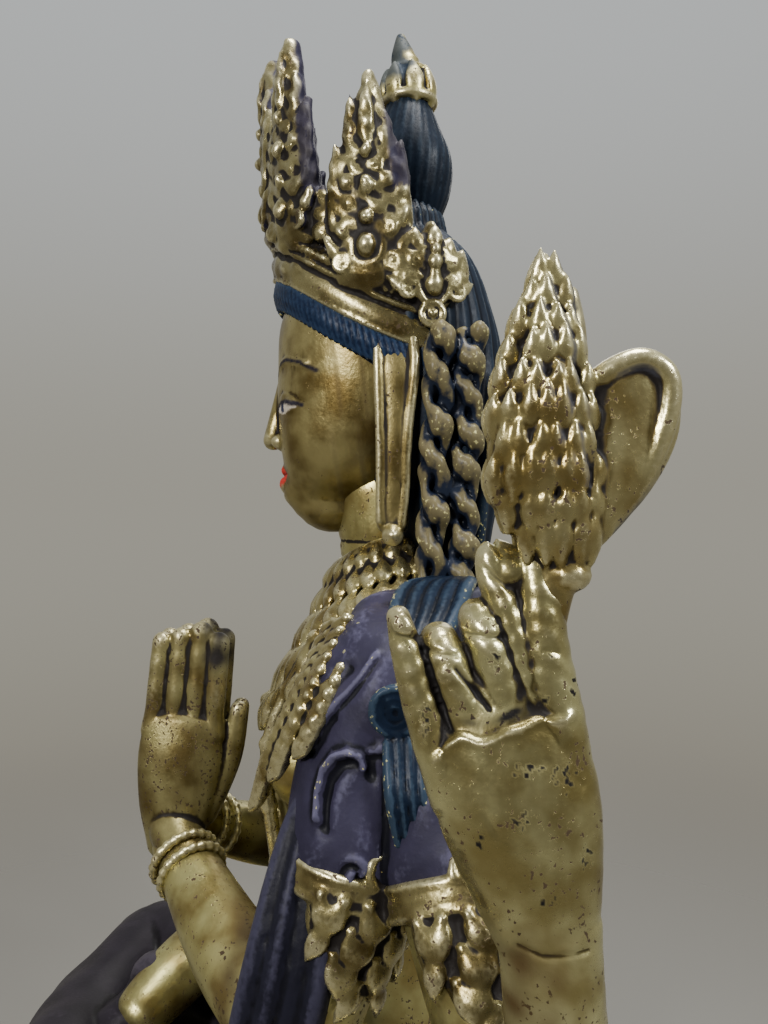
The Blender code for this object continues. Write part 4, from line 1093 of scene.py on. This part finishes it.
LOCK_BLUE, LOCK_BROWN = (0.008, 0.011, 0.020), (0.105, 0.088, 0.046)
TRESS_BLUE, TRESS_LIGHT = (0.003, 0.006, 0.013), (0.018, 0.030, 0.048)


def crown_point(angle, out=0.0, height=0.0):
    """A place on the crown's band, this many degrees round from the front."""
    turn = math.radians(angle)
    lift = 0.5 + 0.5 * math.cos(turn * 1.5)
    behind = BAND_SET - (BAND_HALF_DEPTH + out) * math.cos(turn)
    return Vector(((BAND_HALF_WIDTH + out) * math.sin(turn), behind, 50.6 + 5.0 * lift + height))


def hoop(wax, place, across, onward, thick, wide=None, sides=12, turns=36):
    """A ring round place, through its two half axes."""
    across, onward = Vector(across), Vector(onward)
    rows = []
    for i in range(turns + 2):
        angle = 2 * math.pi * i / turns
        point = Vector(place) + across * math.cos(angle) + onward * math.sin(angle)
        rows.append((*point, wide or thick, thick))
    form(wax, rows, across.cross(onward), sides, 1)


def lock_strands(x, y, z):
    """Fine strands along each lock, crossed by the uneven swelling of old casting."""
    return 0.020 * np.sin(5.0 * z + 4.0 * y) + 0.030 * np.sin(9.0 * y - 1.6 * z)


def combed(x, y, z):
    """Fine strands that run down the hair from the crown of the head."""
    turn = np.arctan2(x, y - 1.0)
    return 0.08 * np.sin(turn * 34 + 0.5 * np.sin(z * 0.9)) * ramp((y + 1.5) / 1.5)


def hair():
    navy = painted("hair_paint", NAVY, NAVY_LIGHT, NAVY_DARK, 0.40)
    wax = bmesh.new()
    form(wax, HAIR, sides=64, steps=8, upright=True)
    form(wax, BACK_HAIR, sides=48, steps=6)
    skin_of("hair", wax, 0.0004, navy, combed)
    wax = bmesh.new()
    rows = [(*crown_point(angle, -0.35, -2.35), 0.95, 0.45) for angle in BAND_RUN]
    form(wax, rows, side=UP, sides=14, steps=2)
    ribs = int(FRINGE_SPAN / FRINGE_STEP)
    for i in range(ribs + 1):
        angle = -FRINGE_SPAN / 2 + FRINGE_SPAN * i / ribs
        lean = FRINGE_LEAN if angle > 0 else -FRINGE_LEAN
        top, foot = crown_point(angle - lean, 0.12, -1.55), crown_point(angle + lean, 0.10, -3.15)
        middle = crown_point(angle, 0.24, -2.35)
        rows = [(*top, 0.15, 0.22), (*middle, 0.17, 0.26), (*foot, 0.13, 0.2)]
        form(wax, rows, side=UP.cross(middle), sides=8, steps=2)
    skin_of("fringe", wax, 0.00024, painted("fringe_paint", FRINGE_BLUE, FRINGE_LIGHT, NAVY_DARK, 0.36),
            passes=1)
    worn = painted("lock_paint", LOCK_BLUE, LOCK_BROWN, NAVY_DARK, 0.32, wear_and_highlight_from=1.06)
    wax = bmesh.new()
    for hand in (LEFT, RIGHT):
        for column, (across, behind) in enumerate(LOCKS):
            for phase in (0, math.pi):
                rows = []
                for i in range(LOCK_TURNS * 6 + 1):
                    t = i / (LOCK_TURNS * 6)
                    turn = 2 * math.pi * LOCK_TURNS * t * (0.5 if column else 0.42) + phase + column
                    swell = 0.46 + 0.12 * math.sin(2 * turn + 1) + 0.10 * math.sin(0.9 * i + phase + column)
                    x = hand * (across - 0.3 * t + 0.30 * math.cos(turn))
                    y = behind - 0.5 * t + 0.48 * math.sin(turn)
                    rows.append((x, y, LOCK_TOP + (LOCK_FOOT - LOCK_TOP) * t, swell, swell))
                form(wax, rows, sides=12, steps=2)
    skin_of("locks", wax, 0.00028, worn, lock_strands, passes=1)
    wax = bmesh.new()
    for hand in (LEFT, RIGHT):
        x, y, z = COIL_MIDDLE
        ball(wax, (hand * (x - 0.35), y, z), (0.45, 1.1, 1.1), 24)
        for radius, thick in COIL_RINGS:
            hoop(wax, (hand * (x + 0.02), y, z), (0, radius, 0), (hand * 0.05, 0, radius), thick, sides=10)
        for strand in range(SHOULDER_STRANDS):
            rows = [(hand * 6.0, 4.4 - 0.45 * strand, 37.1, 0.42, 0.34),
                    (hand * 9.0, 3.9 - 0.72 * strand, 36.95, 0.40, 0.34),
                    (hand * 11.8, 2.9 - 0.62 * strand, 35.6, 0.36, 0.32),
                    (hand * 13.4, 1.3 - 0.25 * strand, 33.8, 0.26, 0.26)]
            form(wax, rows, side=(0, 1, 0), sides=12)
        for start, top, end, foot in TRESS:
            rows = [(hand * x, start, top, 0.25, 0.3),
                    (hand * (x + 0.80), (start + end) / 2 - 0.1, (top + foot) / 2, 0.26, 0.36),
                    (hand * (x + 0.85), end, foot, 0.15, 0.2)]
            form(wax, rows, side=(0, 1, 0), sides=12)
    tress = painted("tress_paint", TRESS_BLUE, TRESS_LIGHT, NAVY_DARK, 0.36)
    skin_of("shoulder_tress", wax, 0.00026, tress, passes=1)


hair()

# The topknot: the hair drawn up on the crown of the head and bound at its neck, with a gilt jewel on its
# tip.
TOPKNOT = [(0, 1.6, 55.5, 2.4, 2.1), (0, 1.8, 57.4, 1.55, 1.45), (0, 1.8, 59.2, 2.05, 2.05),
           (0, 1.7, 61.2, 2.3, 2.3), (0, 1.5, 63.2, 1.85, 1.75), (0, 1.4, 64.8, 1.25, 1.2)]
NAVY_GLEAM = (0.012, 0.022, 0.036)
JEWEL_BASE = [(0, 1.5, 64.6, 1.3, 1.3), (0, 1.4, 65.6, 1.35, 1.35), (0, 1.3, 66.8, 0.9, 0.9)]
JEWEL_TIP = [(0, 1.25, 66.6, 0.8, 0.8), (0, 1.15, 67.5, 0.72, 0.72), (0, 1.0, 68.5, 0.32, 0.32)]
JEWEL_FLAMES = 7
JEWEL_RINGS = ((57.3, 1.8, 1.55, 0.30), (64.7, 1.5, 1.40, 0.30), (66.5, 1.5, 0.9, 0.24))


def topknot_comb(x, y, z):
    turn = np.arctan2(x, y - 1.8)
    return 0.018 * np.sin(turn * 26 + 0.8 * (z - 60))


def jewel_paint(x, y, z, normals):
    """Dark blue paint left in the upper half of the jewel, on the side that looks to the front."""
    cover = ramp((z - 65.2) / 0.5) * ramp((1.75 - y + 0.35 * np.sin(4 * z)) / 0.4) * 0.92
    return laid(NAVY_GLEAM, cover)


def facing(angle):
    """The way out from the figure, this many degrees round from the front."""
    turn = math.radians(angle)
    return Vector((math.sin(turn), -math.cos(turn), 0))


def topknot():
    wax = bmesh.new()
    form(wax, TOPKNOT, sides=48, steps=8, upright=True)
    skin_of("topknot", wax, 0.00034, painted("topknot_paint", NAVY, NAVY_LIGHT, NAVY_DARK, 0.38),
            topknot_comb)
    wax = bmesh.new()
    form(wax, JEWEL_BASE, sides=28, steps=6, upright=True)
    form(wax, JEWEL_TIP, sides=24, steps=6, upright=True)
    for height, behind, radius, thick in JEWEL_RINGS:
        hoop(wax, (0, behind, height), (radius, 0, 0), (0, radius, 0), thick)
    for i in range(JEWEL_FLAMES):
        turn = 2 * math.pi * i / JEWEL_FLAMES
        out = Vector((math.sin(turn), -math.cos(turn), 0))
        leaf(wax, Vector((0, 1.5, 64.4)) + out * 1.25, Vector((0, 1.35, 66.7)) + out * 1.1, out,
             0.55, 0.32, 0.3, 12)
    gold = gilt("jewel_gilt", patina_from=0.0, marked=True)
    skin_of("topknot_jewel", wax, 0.00028, gold, paint=jewel_paint, passes=1)


topknot()

# The crown: five tall leaves on a band that dips behind the ears, cast with scrolls, beads and flames in
# front, and a low leaf with two scrolls behind each ear. The back and the rear edge of each leaf are left
# dark.
LEAVES = ((0, 66.9, 2.2), (37, 66.2, 2.1), (80, 63.2, 2.3))
BANDS = ((-1.45, 0.26, 0.16, 0.22), (-0.75, 0.42, 0.74, 0.12), (0.25, 0.30, 0.18, 0.30),
         (0.85, 0.36, 0.50, 0.0))
BAND_BEADS, BEADED_SPAN = 75, 216
LEAF_SCROLLS = ((0.05, 1.35, 0.40), (0.22, 1.15, 0.34), (0.33, 0.55, 0.42), (0.45, 0.95, 0.30),
                (0.53, 0.42, 0.34))
LEAF_GEMS = ((0.27, 0.34), (0.43, 0.40), (0.60, 0.30))
EAR_LEAF = (107, 55.6, 1.5)
EAR_SCROLLS = (((6.2, 0.9, 53.3), 0.6), ((6.1, 2.5, 50.9), 0.55))
CROWN_BACK = (0.014, 0.012, 0.026)
CROWN_GOLD = ((0.29, 0.255, 0.125), (0.095, 0.070, 0.025))


def crown_paint(x, y, z, normals):
    """Dark paint on what looks inwards above the band, and on the rear edge of each side leaf."""
    out = np.stack([x / BAND_HALF_WIDTH, (y - BAND_SET) / BAND_HALF_DEPTH], axis=1)
    out /= np.linalg.norm(out, axis=1)[:, None].clip(0.01)
    inward = -(out * normals[:, :2]).sum(axis=1)
    cover = ramp((inward + 0.38) / 0.30) * (z > 55.5)
    turn = np.degrees(np.arctan2(np.abs(x), BAND_SET - y))
    for angle, tip_height, width in LEAVES:
        beyond = (turn - angle) / 9.5
        rise = (z - 56.5) / (tip_height - 56.5)
        edge = ramp((beyond - 1.05 + 0.75 * rise) / 0.20) * (beyond < 2.4) * (rise > 0.12)
        cover = np.maximum(cover, edge * (angle > 0) * 0.95)
    return laid(CROWN_BACK, cover)


def crown_pitting(x, y, z):
    """The cast surface between the ornaments is never quite even."""
    leaves = np.clip((z - 55.2 - 0.55 * np.minimum(y, 0)) / 1.0, 0.1, 1)
    coarse = leaves * 0.05 * np.sin(4.1 * x + 2.3 * z) * np.sin(3.7 * y - 2.9 * z)
    return coarse + leaves * 0.025 * np.sin(6.3 * z + 5 * y + 3 * x)


def scroll(wax, middle, across, up, radius, thick):
    hoop(wax, middle, across * radius, up * radius, thick, sides=8, turns=16)
    bead(wax, middle, thick * 1.25)


def crown_leaf(wax, angle, tip_height, width):
    """One leaf: a pointed plate with a gem at its foot, scrolls and gems above, and flames at the sides."""
    face = facing(angle)
    across = face.cross(UP)
    base, top = crown_point(angle, 0.15, 1.2), crown_point(angle, 0.6)
    top.z = tip_height
    height = tip_height - base.z
    leaf(wax, base - face * 0.2, top - face * 0.2, face, width, 1.05, 0.2, 20,
         (0.9, 1.0, 0.95, 0.72, 0.45, 0.16))
    ball(wax, base.lerp(top, 0.13) + face * 0.75, (0.52, 0.52, 0.62), 16)
    hoop(wax, base.lerp(top, 0.13) + face * 0.65, across * 0.85, UP * 1.0, 0.2, sides=8, turns=20)
    for share, reach, radius in LEAF_SCROLLS:
        for side in (-1, 1):
            scroll(wax, base.lerp(top, share) + face * 0.65 + across * side * reach, across, UP, radius, 0.17)
    for share, size in LEAF_GEMS:
        ball(wax, base.lerp(top, share) + face * 0.85, (size, size, 1.2 * size), 12)
    leaf(wax, base.lerp(top, 0.60) + face * 0.5, base.lerp(top, 0.95) + face * 0.45, face,
         0.42, 0.3, 0.25, 10)
    for side in (-1, 1):
        out = across * side
        upper, lower = base.lerp(top, 0.50) + out * 0.75, base.lerp(top, 0.12) + out * 0.9
        leaf(wax, upper, base.lerp(top, 0.86 + 0.05 * side) + out * 0.95, face, 0.52, 0.6, 0.2, 12)
        leaf(wax, lower, base.lerp(top, 0.66) + out * 1.75, face, 0.85, 0.62, 0.2, 12)
        for step in range(4):
            root = base.lerp(top, 0.06 + 0.13 * step) + out * (1.35 - 0.12 * step) + face * 0.2
            tip = root + out * (0.95 - 0.12 * step) + UP * (height * 0.14) + face * 0.1
            leaf(wax, root, tip, face, 0.42, 0.36, 0.2, 10)
            bead(wax, root + face * 0.25 + UP * 0.2, 0.3)


def crown():
    wax = bmesh.new()
    for height, thick, wide, out in BANDS:
        rows = [(*crown_point(angle, out, height), wide, thick) for angle in BAND_RUN]
        form(wax, rows, side=UP, sides=14, steps=2)
    for i in range(BAND_BEADS):
        bead(wax, crown_point(-BEADED_SPAN / 2 + BEADED_SPAN * i / (BAND_BEADS - 1), 0.45, 0.85), 0.26)
    for angle, tip, width in LEAVES:
        for hand in ((LEFT, RIGHT) if angle else (LEFT,)):
            crown_leaf(wax, hand * angle, tip, width)
    for hand in (LEFT, RIGHT):
        for between in (18.5, 58):
            place = crown_point(hand * between, 0.35, 2.3)
            ball(wax, place, (0.62, 0.62, 0.7), 14)
            leaf(wax, place, place + UP * 2.4, facing(hand * between), 0.6, 0.4, 0.2, 10)
        angle, tip, width = EAR_LEAF
        crown_leaf(wax, hand * angle, tip, width)
        for place, radius in EAR_SCROLLS:
            scroll(wax, Vector(to_side(place, hand)), Vector((0, 1, 0)), UP, radius, 0.22)
    gold = gilt("crown_gilt", *CROWN_GOLD, speck=0.68, roughness=0.27, patina_from=-0.10, marked=True)
    skin_of("crown", wax, 0.00027, gold, crown_pitting, paint=crown_paint, passes=1)


crown()

# The jewels of the trunk: a broad collar of overlapping leaves and beads, a long beaded garland, armlets
# with leaf crests on all four arms, and a belt. They were modelled in the wax of the figure and gilt with
# it.
COLLAR_RINGS = ((3.2, -2.75, 3.6, 37.4, 38.9, 39.0), (3.9, -3.25, 4.0, 36.2, 37.9, 38.0),
                (5.0, -4.0, 4.5, 34.6, 36.9, 37.0), (6.3, -5.1, 5.0, 32.6, 35.9, 35.8),
                (7.6, -6.4, 5.3, 30.2, 34.7, 34.2), (8.2, -7.0, 5.4, 28.4, 33.6, 33.0))
COLLAR_PETALS = ((0, 26, 0.46), (1, 30, 0.50), (2, 32, 0.58), (3, 34, 0.66), (4, 30, 0.62))
COLLAR_EDGE = [(11.4, -0.9, 35.4), (12.6, -1.7, 33.8), (13.1, -2.5, 32.2), (12.9, -3.4, 30.4),
               (12.6, -3.9, 28.8), (12.2, -4.3, 27.4)]
GARLAND = [(5.0, -3.6, 34.0, 0.5, 0.4), (5.2, -6.1, 28.5, 0.5, 0.4), (4.4, -5.7, 22.0, 0.5, 0.4),
           (2.4, -5.3, 17.0, 0.5, 0.4), (0, -5.1, 15.2, 0.6, 0.5)]
ARMLETS = (((13.9, 3.2, 24.8), (4.2, 1.8, -9.4), 3.0, (0.75, 0.25, 0.3)),
           ((11.9, -1.5, 24.8), (0.6, -1.9, -7.6), 2.9, (1, 0.75, 0)))
CREST_PLATE = ((-56, 2.6), (-37, 3.6), (-19, 4.3), (0, 4.7), (19, 4.3), (37, 3.6), (56, 2.6))
CREST_ROWS = ((0.1, 7, 112), (1.2, 6, 92), (2.3, 5, 72), (3.3, 2, 22))
ARM_TAPER = 0.085
ARMLET_HOOPS = ((-0.45, 0.30, 0.28), (0.05, 0.28, 0.5), (0.55, 0.30, 0.28))
BELT = ((0, 0.6, 10.2), (7.3, 0, 0), (0, 5.6, 0))
COLLAR_GOLD = ((0.37, 0.325, 0.155), (0.16, 0.118, 0.040))
ARMLET_GOLD = ((0.31, 0.27, 0.125), (0.09, 0.064, 0.021))


def collar_point(turn, ring):
    """A place on one of the collar's rings, or between two, this far round from the front."""
    inner = min(int(ring), len(COLLAR_RINGS) - 2)
    rows = (np.array(COLLAR_RINGS[inner]), np.array(COLLAR_RINGS[inner + 1]))
    half, front, back, low, side, high = rows[0] + (rows[1] - rows[0]) * (ring - inner)
    ahead = 0.5 + 0.5 * math.cos(turn)
    flank = math.sin(turn) ** 2
    reach = front if math.cos(turn) > 0 else -back
    height = low * ahead + high * (1 - ahead) + (side - (low + high) / 2) * flank
    return Vector((half * math.sin(turn), reach * math.cos(turn), height))


def collar():
    wax = bmesh.new()
    for ring, thick in ((0, 0.34), (1.1, 0.26)):
        rows = [(*collar_point(math.radians(angle), ring), 0.42, thick) for angle in range(0, 371, 10)]
        form(wax, rows, side=UP, sides=12, steps=1)
    for ring, count, width in COLLAR_PETALS:
        for i in range(count):
            turn = 2 * math.pi * (i + 0.5 * (ring % 2)) / count
            if ring == 4 and math.cos(turn) < 0.3:
                continue
            away = Vector((math.sin(turn), -math.cos(turn), 0.5))
            place, end = collar_point(turn, ring + 0.1), collar_point(turn, ring + 1.15)
            leaf(wax, place, end, away, width, 0.40, 0.25, 12)
            bead(wax, place.lerp(end, 0.55) + away * 0.34, 0.22, 8)
            bead(wax, collar_point(turn + math.pi / count, ring + 0.5) + away * 0.15, 0.27)
    edge = smooth_rows(COLLAR_EDGE, 3)
    curve = smooth_rows(GARLAND, 16)
    for hand in (LEFT, RIGHT):
        for i, place in enumerate(edge):
            for inward in range(max(0, (i - 6) // 3), 3):
                foot = (place.x - 0.85 * inward, place.y - 0.62 * inward, place.z + 0.30 * (inward % 2))
                foot = Vector(to_side(foot, hand))
                tip = foot + Vector((-0.40 * hand, -0.70, -1.05))
                leaf(wax, foot, tip, (0.75 * hand, -0.65, 0.15), 0.64 - 0.02 * i, 0.40, 0.22, 12)
                bead(wax, foot + Vector((0.22 * hand, -0.18, 0.15)), 0.27)
        for i, row in enumerate(curve[::2]):
            bead(wax, to_side(row[:3], hand), 0.34 if i % 4 else 0.52)
        form(wax, mirrored(GARLAND, hand), side=(hand, 0, 0), sides=8, steps=4)
    for drop in range(6):
        ball(wax, (0, -6.9 + 0.12 * drop, 29.6 - 1.15 * drop), (0.42, 0.42, 0.5), 12)
    leaf(wax, (0, -6.6, 23.6), (0, -6.0, 20.6), (0, -1, 0), 0.9, 0.45, 0.3, 14)
    gold = gilt("collar_gilt", *COLLAR_GOLD, speck=0.68, roughness=0.27, patina_from=0.04)
    skin_of("collar", wax, 0.0003, gold, passes=1)


def arm_jewels():
    wax = bmesh.new()
    for hand in (LEFT, RIGHT):
        for middle, along, radius, crest in ARMLETS:
            middle, along, crest = (Vector(to_side(part, hand)) for part in (middle, along, crest))
            along = along.normalized()
            across = along.cross(UP if abs(along.z) < 0.8 else Vector((0, 1, 0))).normalized()
            onward = along.cross(across)
            for shift, thick, wide in ARMLET_HOOPS:
                hoop(wax, middle + along * shift, across * radius, onward * radius, thick, wide)
            root = middle + crest.normalized() * (radius - 0.1)
            side = crest.cross(along).normalized()
            for slant, length in CREST_PLATE:
                outward = Matrix.Rotation(math.radians(slant), 3, along) @ crest.normalized()
                foot = middle + outward * (radius - 0.15) + along * 0.4
                tip = foot + (along - outward * ARM_TAPER) * length
                leaf(wax, foot, tip, outward, 0.66, 0.34, 0.12, 12, (1.0, 1.0, 0.95, 0.75, 0.25))
            for down, count, span in CREST_ROWS:
                for i in range(count):
                    slant = math.radians(span * (i / (count - 1) - 0.5))
                    outward = Matrix.Rotation(slant, 3, along) @ crest.normalized()
                    foot = middle + outward * (radius + 0.12 - ARM_TAPER * down) + along * (0.4 + down)
                    lean = outward.cross(along) * 0.55 * (-1) ** i
                    leaf(wax, foot, foot + along * 1.6 + lean, outward, 0.50, 0.27, 0.22, 10)
                    bead(wax, foot + outward * 0.15, 0.25)
            for curl in (-1, 1):
                scroll(wax, root - along * 1.0 + side * curl * 0.75, side, along, 0.55, 0.2)
            ball(wax, root - along * 0.95, (0.42, 0.42, 0.5), 14)
    hoop(wax, *BELT, 0.55, 0.9)
    for height in (-0.8, 0.8):
        middle, across, front = (Vector(part) for part in BELT)
        bead_ring(wax, middle + UP * height, across * 1.03, front * 1.03, 60, 0.30)
    gold = gilt("armlet_gilt", *ARMLET_GOLD, roughness=0.28, patina_from=-0.14)
    skin_of("arm_jewels", wax, 0.0003, gold, passes=1)


collar()
arm_jewels()

# The hem of the trousers: gilt cloth spread in pleats over the front edge of the seat, under the crossed
# ankles.
HEM_PLEATS = 9


def hem():
    wax = bmesh.new()
    for i in range(HEM_PLEATS):
        t = 2 * i / (HEM_PLEATS - 1) - 1
        front = -25.0 + 1.4 * abs(t)
        rows = [(2.0 * t, -20.5, 3.0, 0.7, 0.7), (4.5 * t, -23.6 + 0.6 * abs(t), 1.6, 0.8, 0.6),
                (7.0 * t, front, 0.6, 1.05, 0.55)]
        form(wax, rows, sides=16)
        edge = [(7.0 * t - 0.9, front, 0.75, 0.2, 0.3), (7.0 * t, -25.35 + 1.4 * abs(t), 0.7, 0.2, 0.3),
                (7.0 * t + 0.9, front, 0.75, 0.2, 0.3)]
        form(wax, edge, side=UP, sides=8)
    skin_of("hem", wax, 0.00034, gilt("hem_gilt", patina_from=0.08), floor=0.0)


hem()

# The stage: a plain grey floor and a pale backdrop, soft light from above and both sides, and the camera
# close beside the figure at the height of its neck.
CAMERA_PLACE = (48.6 * UNIT, BACK_SET, SEAT_HEIGHT + 40.8 * UNIT)
LENS = 29.04
FLOOR_TINT = (0.13, 0.125, 0.112)
ROOM_TINTS = ((0.225, 0.205, 0.165), (0.35, 0.335, 0.285), (0.54, 0.56, 0.565))
FLOOR_RADIUS = 0.46
FADE_FROM, FADE_TO = 0.10, 0.44
ROOM_BEHIND = (0.13, 0.125, 0.115)  # the darker side of the room, behind the camera
LAMPS = (("ceiling", (0.06, 0.10, 0.62), (0.0, 0.0, 0.12), 0.22, 4.6, (1.0, 0.99, 0.96)),
         ("window", (0.30, 0.42, 0.42), (0.0, 0.0, 0.13), 0.12, 3.1, (0.95, 0.98, 1.0)),
         ("front", (0.44, -0.26, 0.34), (0.0, 0.0, 0.12), 0.11, 3.4, (1.0, 0.98, 0.94)),
         ("far_side", (-0.50, 0.10, 0.45), (0.0, 0.0, 0.12), 0.40, 1.0, (1.0, 0.97, 0.93)))


def floor_material():
    """Plain grey that fades out into the room all round, so that the floor has no edge."""
    material, tree, shader, coords = new_material("floor_grey")
    cloud = grain_noise(tree, coords, 3, 2.0)
    tint = layered(tree, with_alpha(FLOOR_TINT), with_alpha(FLOOR_TINT, 0.94), cloud)
    tree.links.new(tint, shader.inputs["Base Color"])
    shader.inputs["Roughness"].default_value = 0.8
    reach = shade(tree, "ShaderNodeVectorMath", {0: coords}, operation="LENGTH").outputs["Value"]
    clear = shade(tree, "ShaderNodeBsdfTransparent")
    fade = shade(tree, "ShaderNodeMixShader", {0: step_between(tree, reach, FADE_FROM, FADE_TO),
                                               1: shader.outputs["BSDF"], 2: clear.outputs["BSDF"]})
    tree.links.new(fade.outputs["Shader"], tree.nodes["Material Output"].inputs["Surface"])
    return material


def stage():
    shape = bmesh.new()
    bmesh.ops.create_circle(shape, cap_ends=True, segments=96, radius=FLOOR_RADIUS)
    mesh = mesh_from("floor", shape)
    mesh.materials.append(floor_material())
    placed("floor", mesh)
    world = bpy.data.worlds.new("room")
    world.use_nodes = True
    tree = world.node_tree
    view = shade(tree, "ShaderNodeTexCoord").outputs["Generated"]
    view = shade(tree, "ShaderNodeSeparateXYZ", {"Vector": view}).outputs
    height = view["Z"]
    low, middle, high = (with_alpha(tint) for tint in ROOM_TINTS)
    tint = layered(tree, low, middle, step_between(tree, height, -0.5, 0.0))
    tint = layered(tree, tint, high, step_between(tree, height, 0.0, 0.6))
    tint = layered(tree, tint, with_alpha(ROOM_BEHIND), step_between(tree, view["X"], 0.0, 1.25))
    tree.links.new(tint, tree.nodes["Background"].inputs["Color"])
    bpy.context.scene.world = world


def lamps():
    for name, place, target, size, power, tint in LAMPS:
        light = bpy.data.lights.new(name, "AREA")
        light.shape = "DISK"
        light.size = size
        light.energy = power
        light.color = tint
        lamp = placed(name, light)
        lamp.location = place
        lamp.rotation_euler = (Vector(target) - Vector(place)).to_track_quat("-Z", "Y").to_euler()


def camera():
    lens = bpy.data.cameras.new("camera")
    lens.sensor_fit = "VERTICAL"
    lens.sensor_height = 36
    lens.lens = LENS
    lens.clip_start = 0.001
    seen_from = placed("camera", lens)
    seen_from.location = CAMERA_PLACE
    seen_from.rotation_euler = (math.radians(90), 0, math.radians(90))
    bpy.context.scene.camera = seen_from


stage()
lamps()
camera()
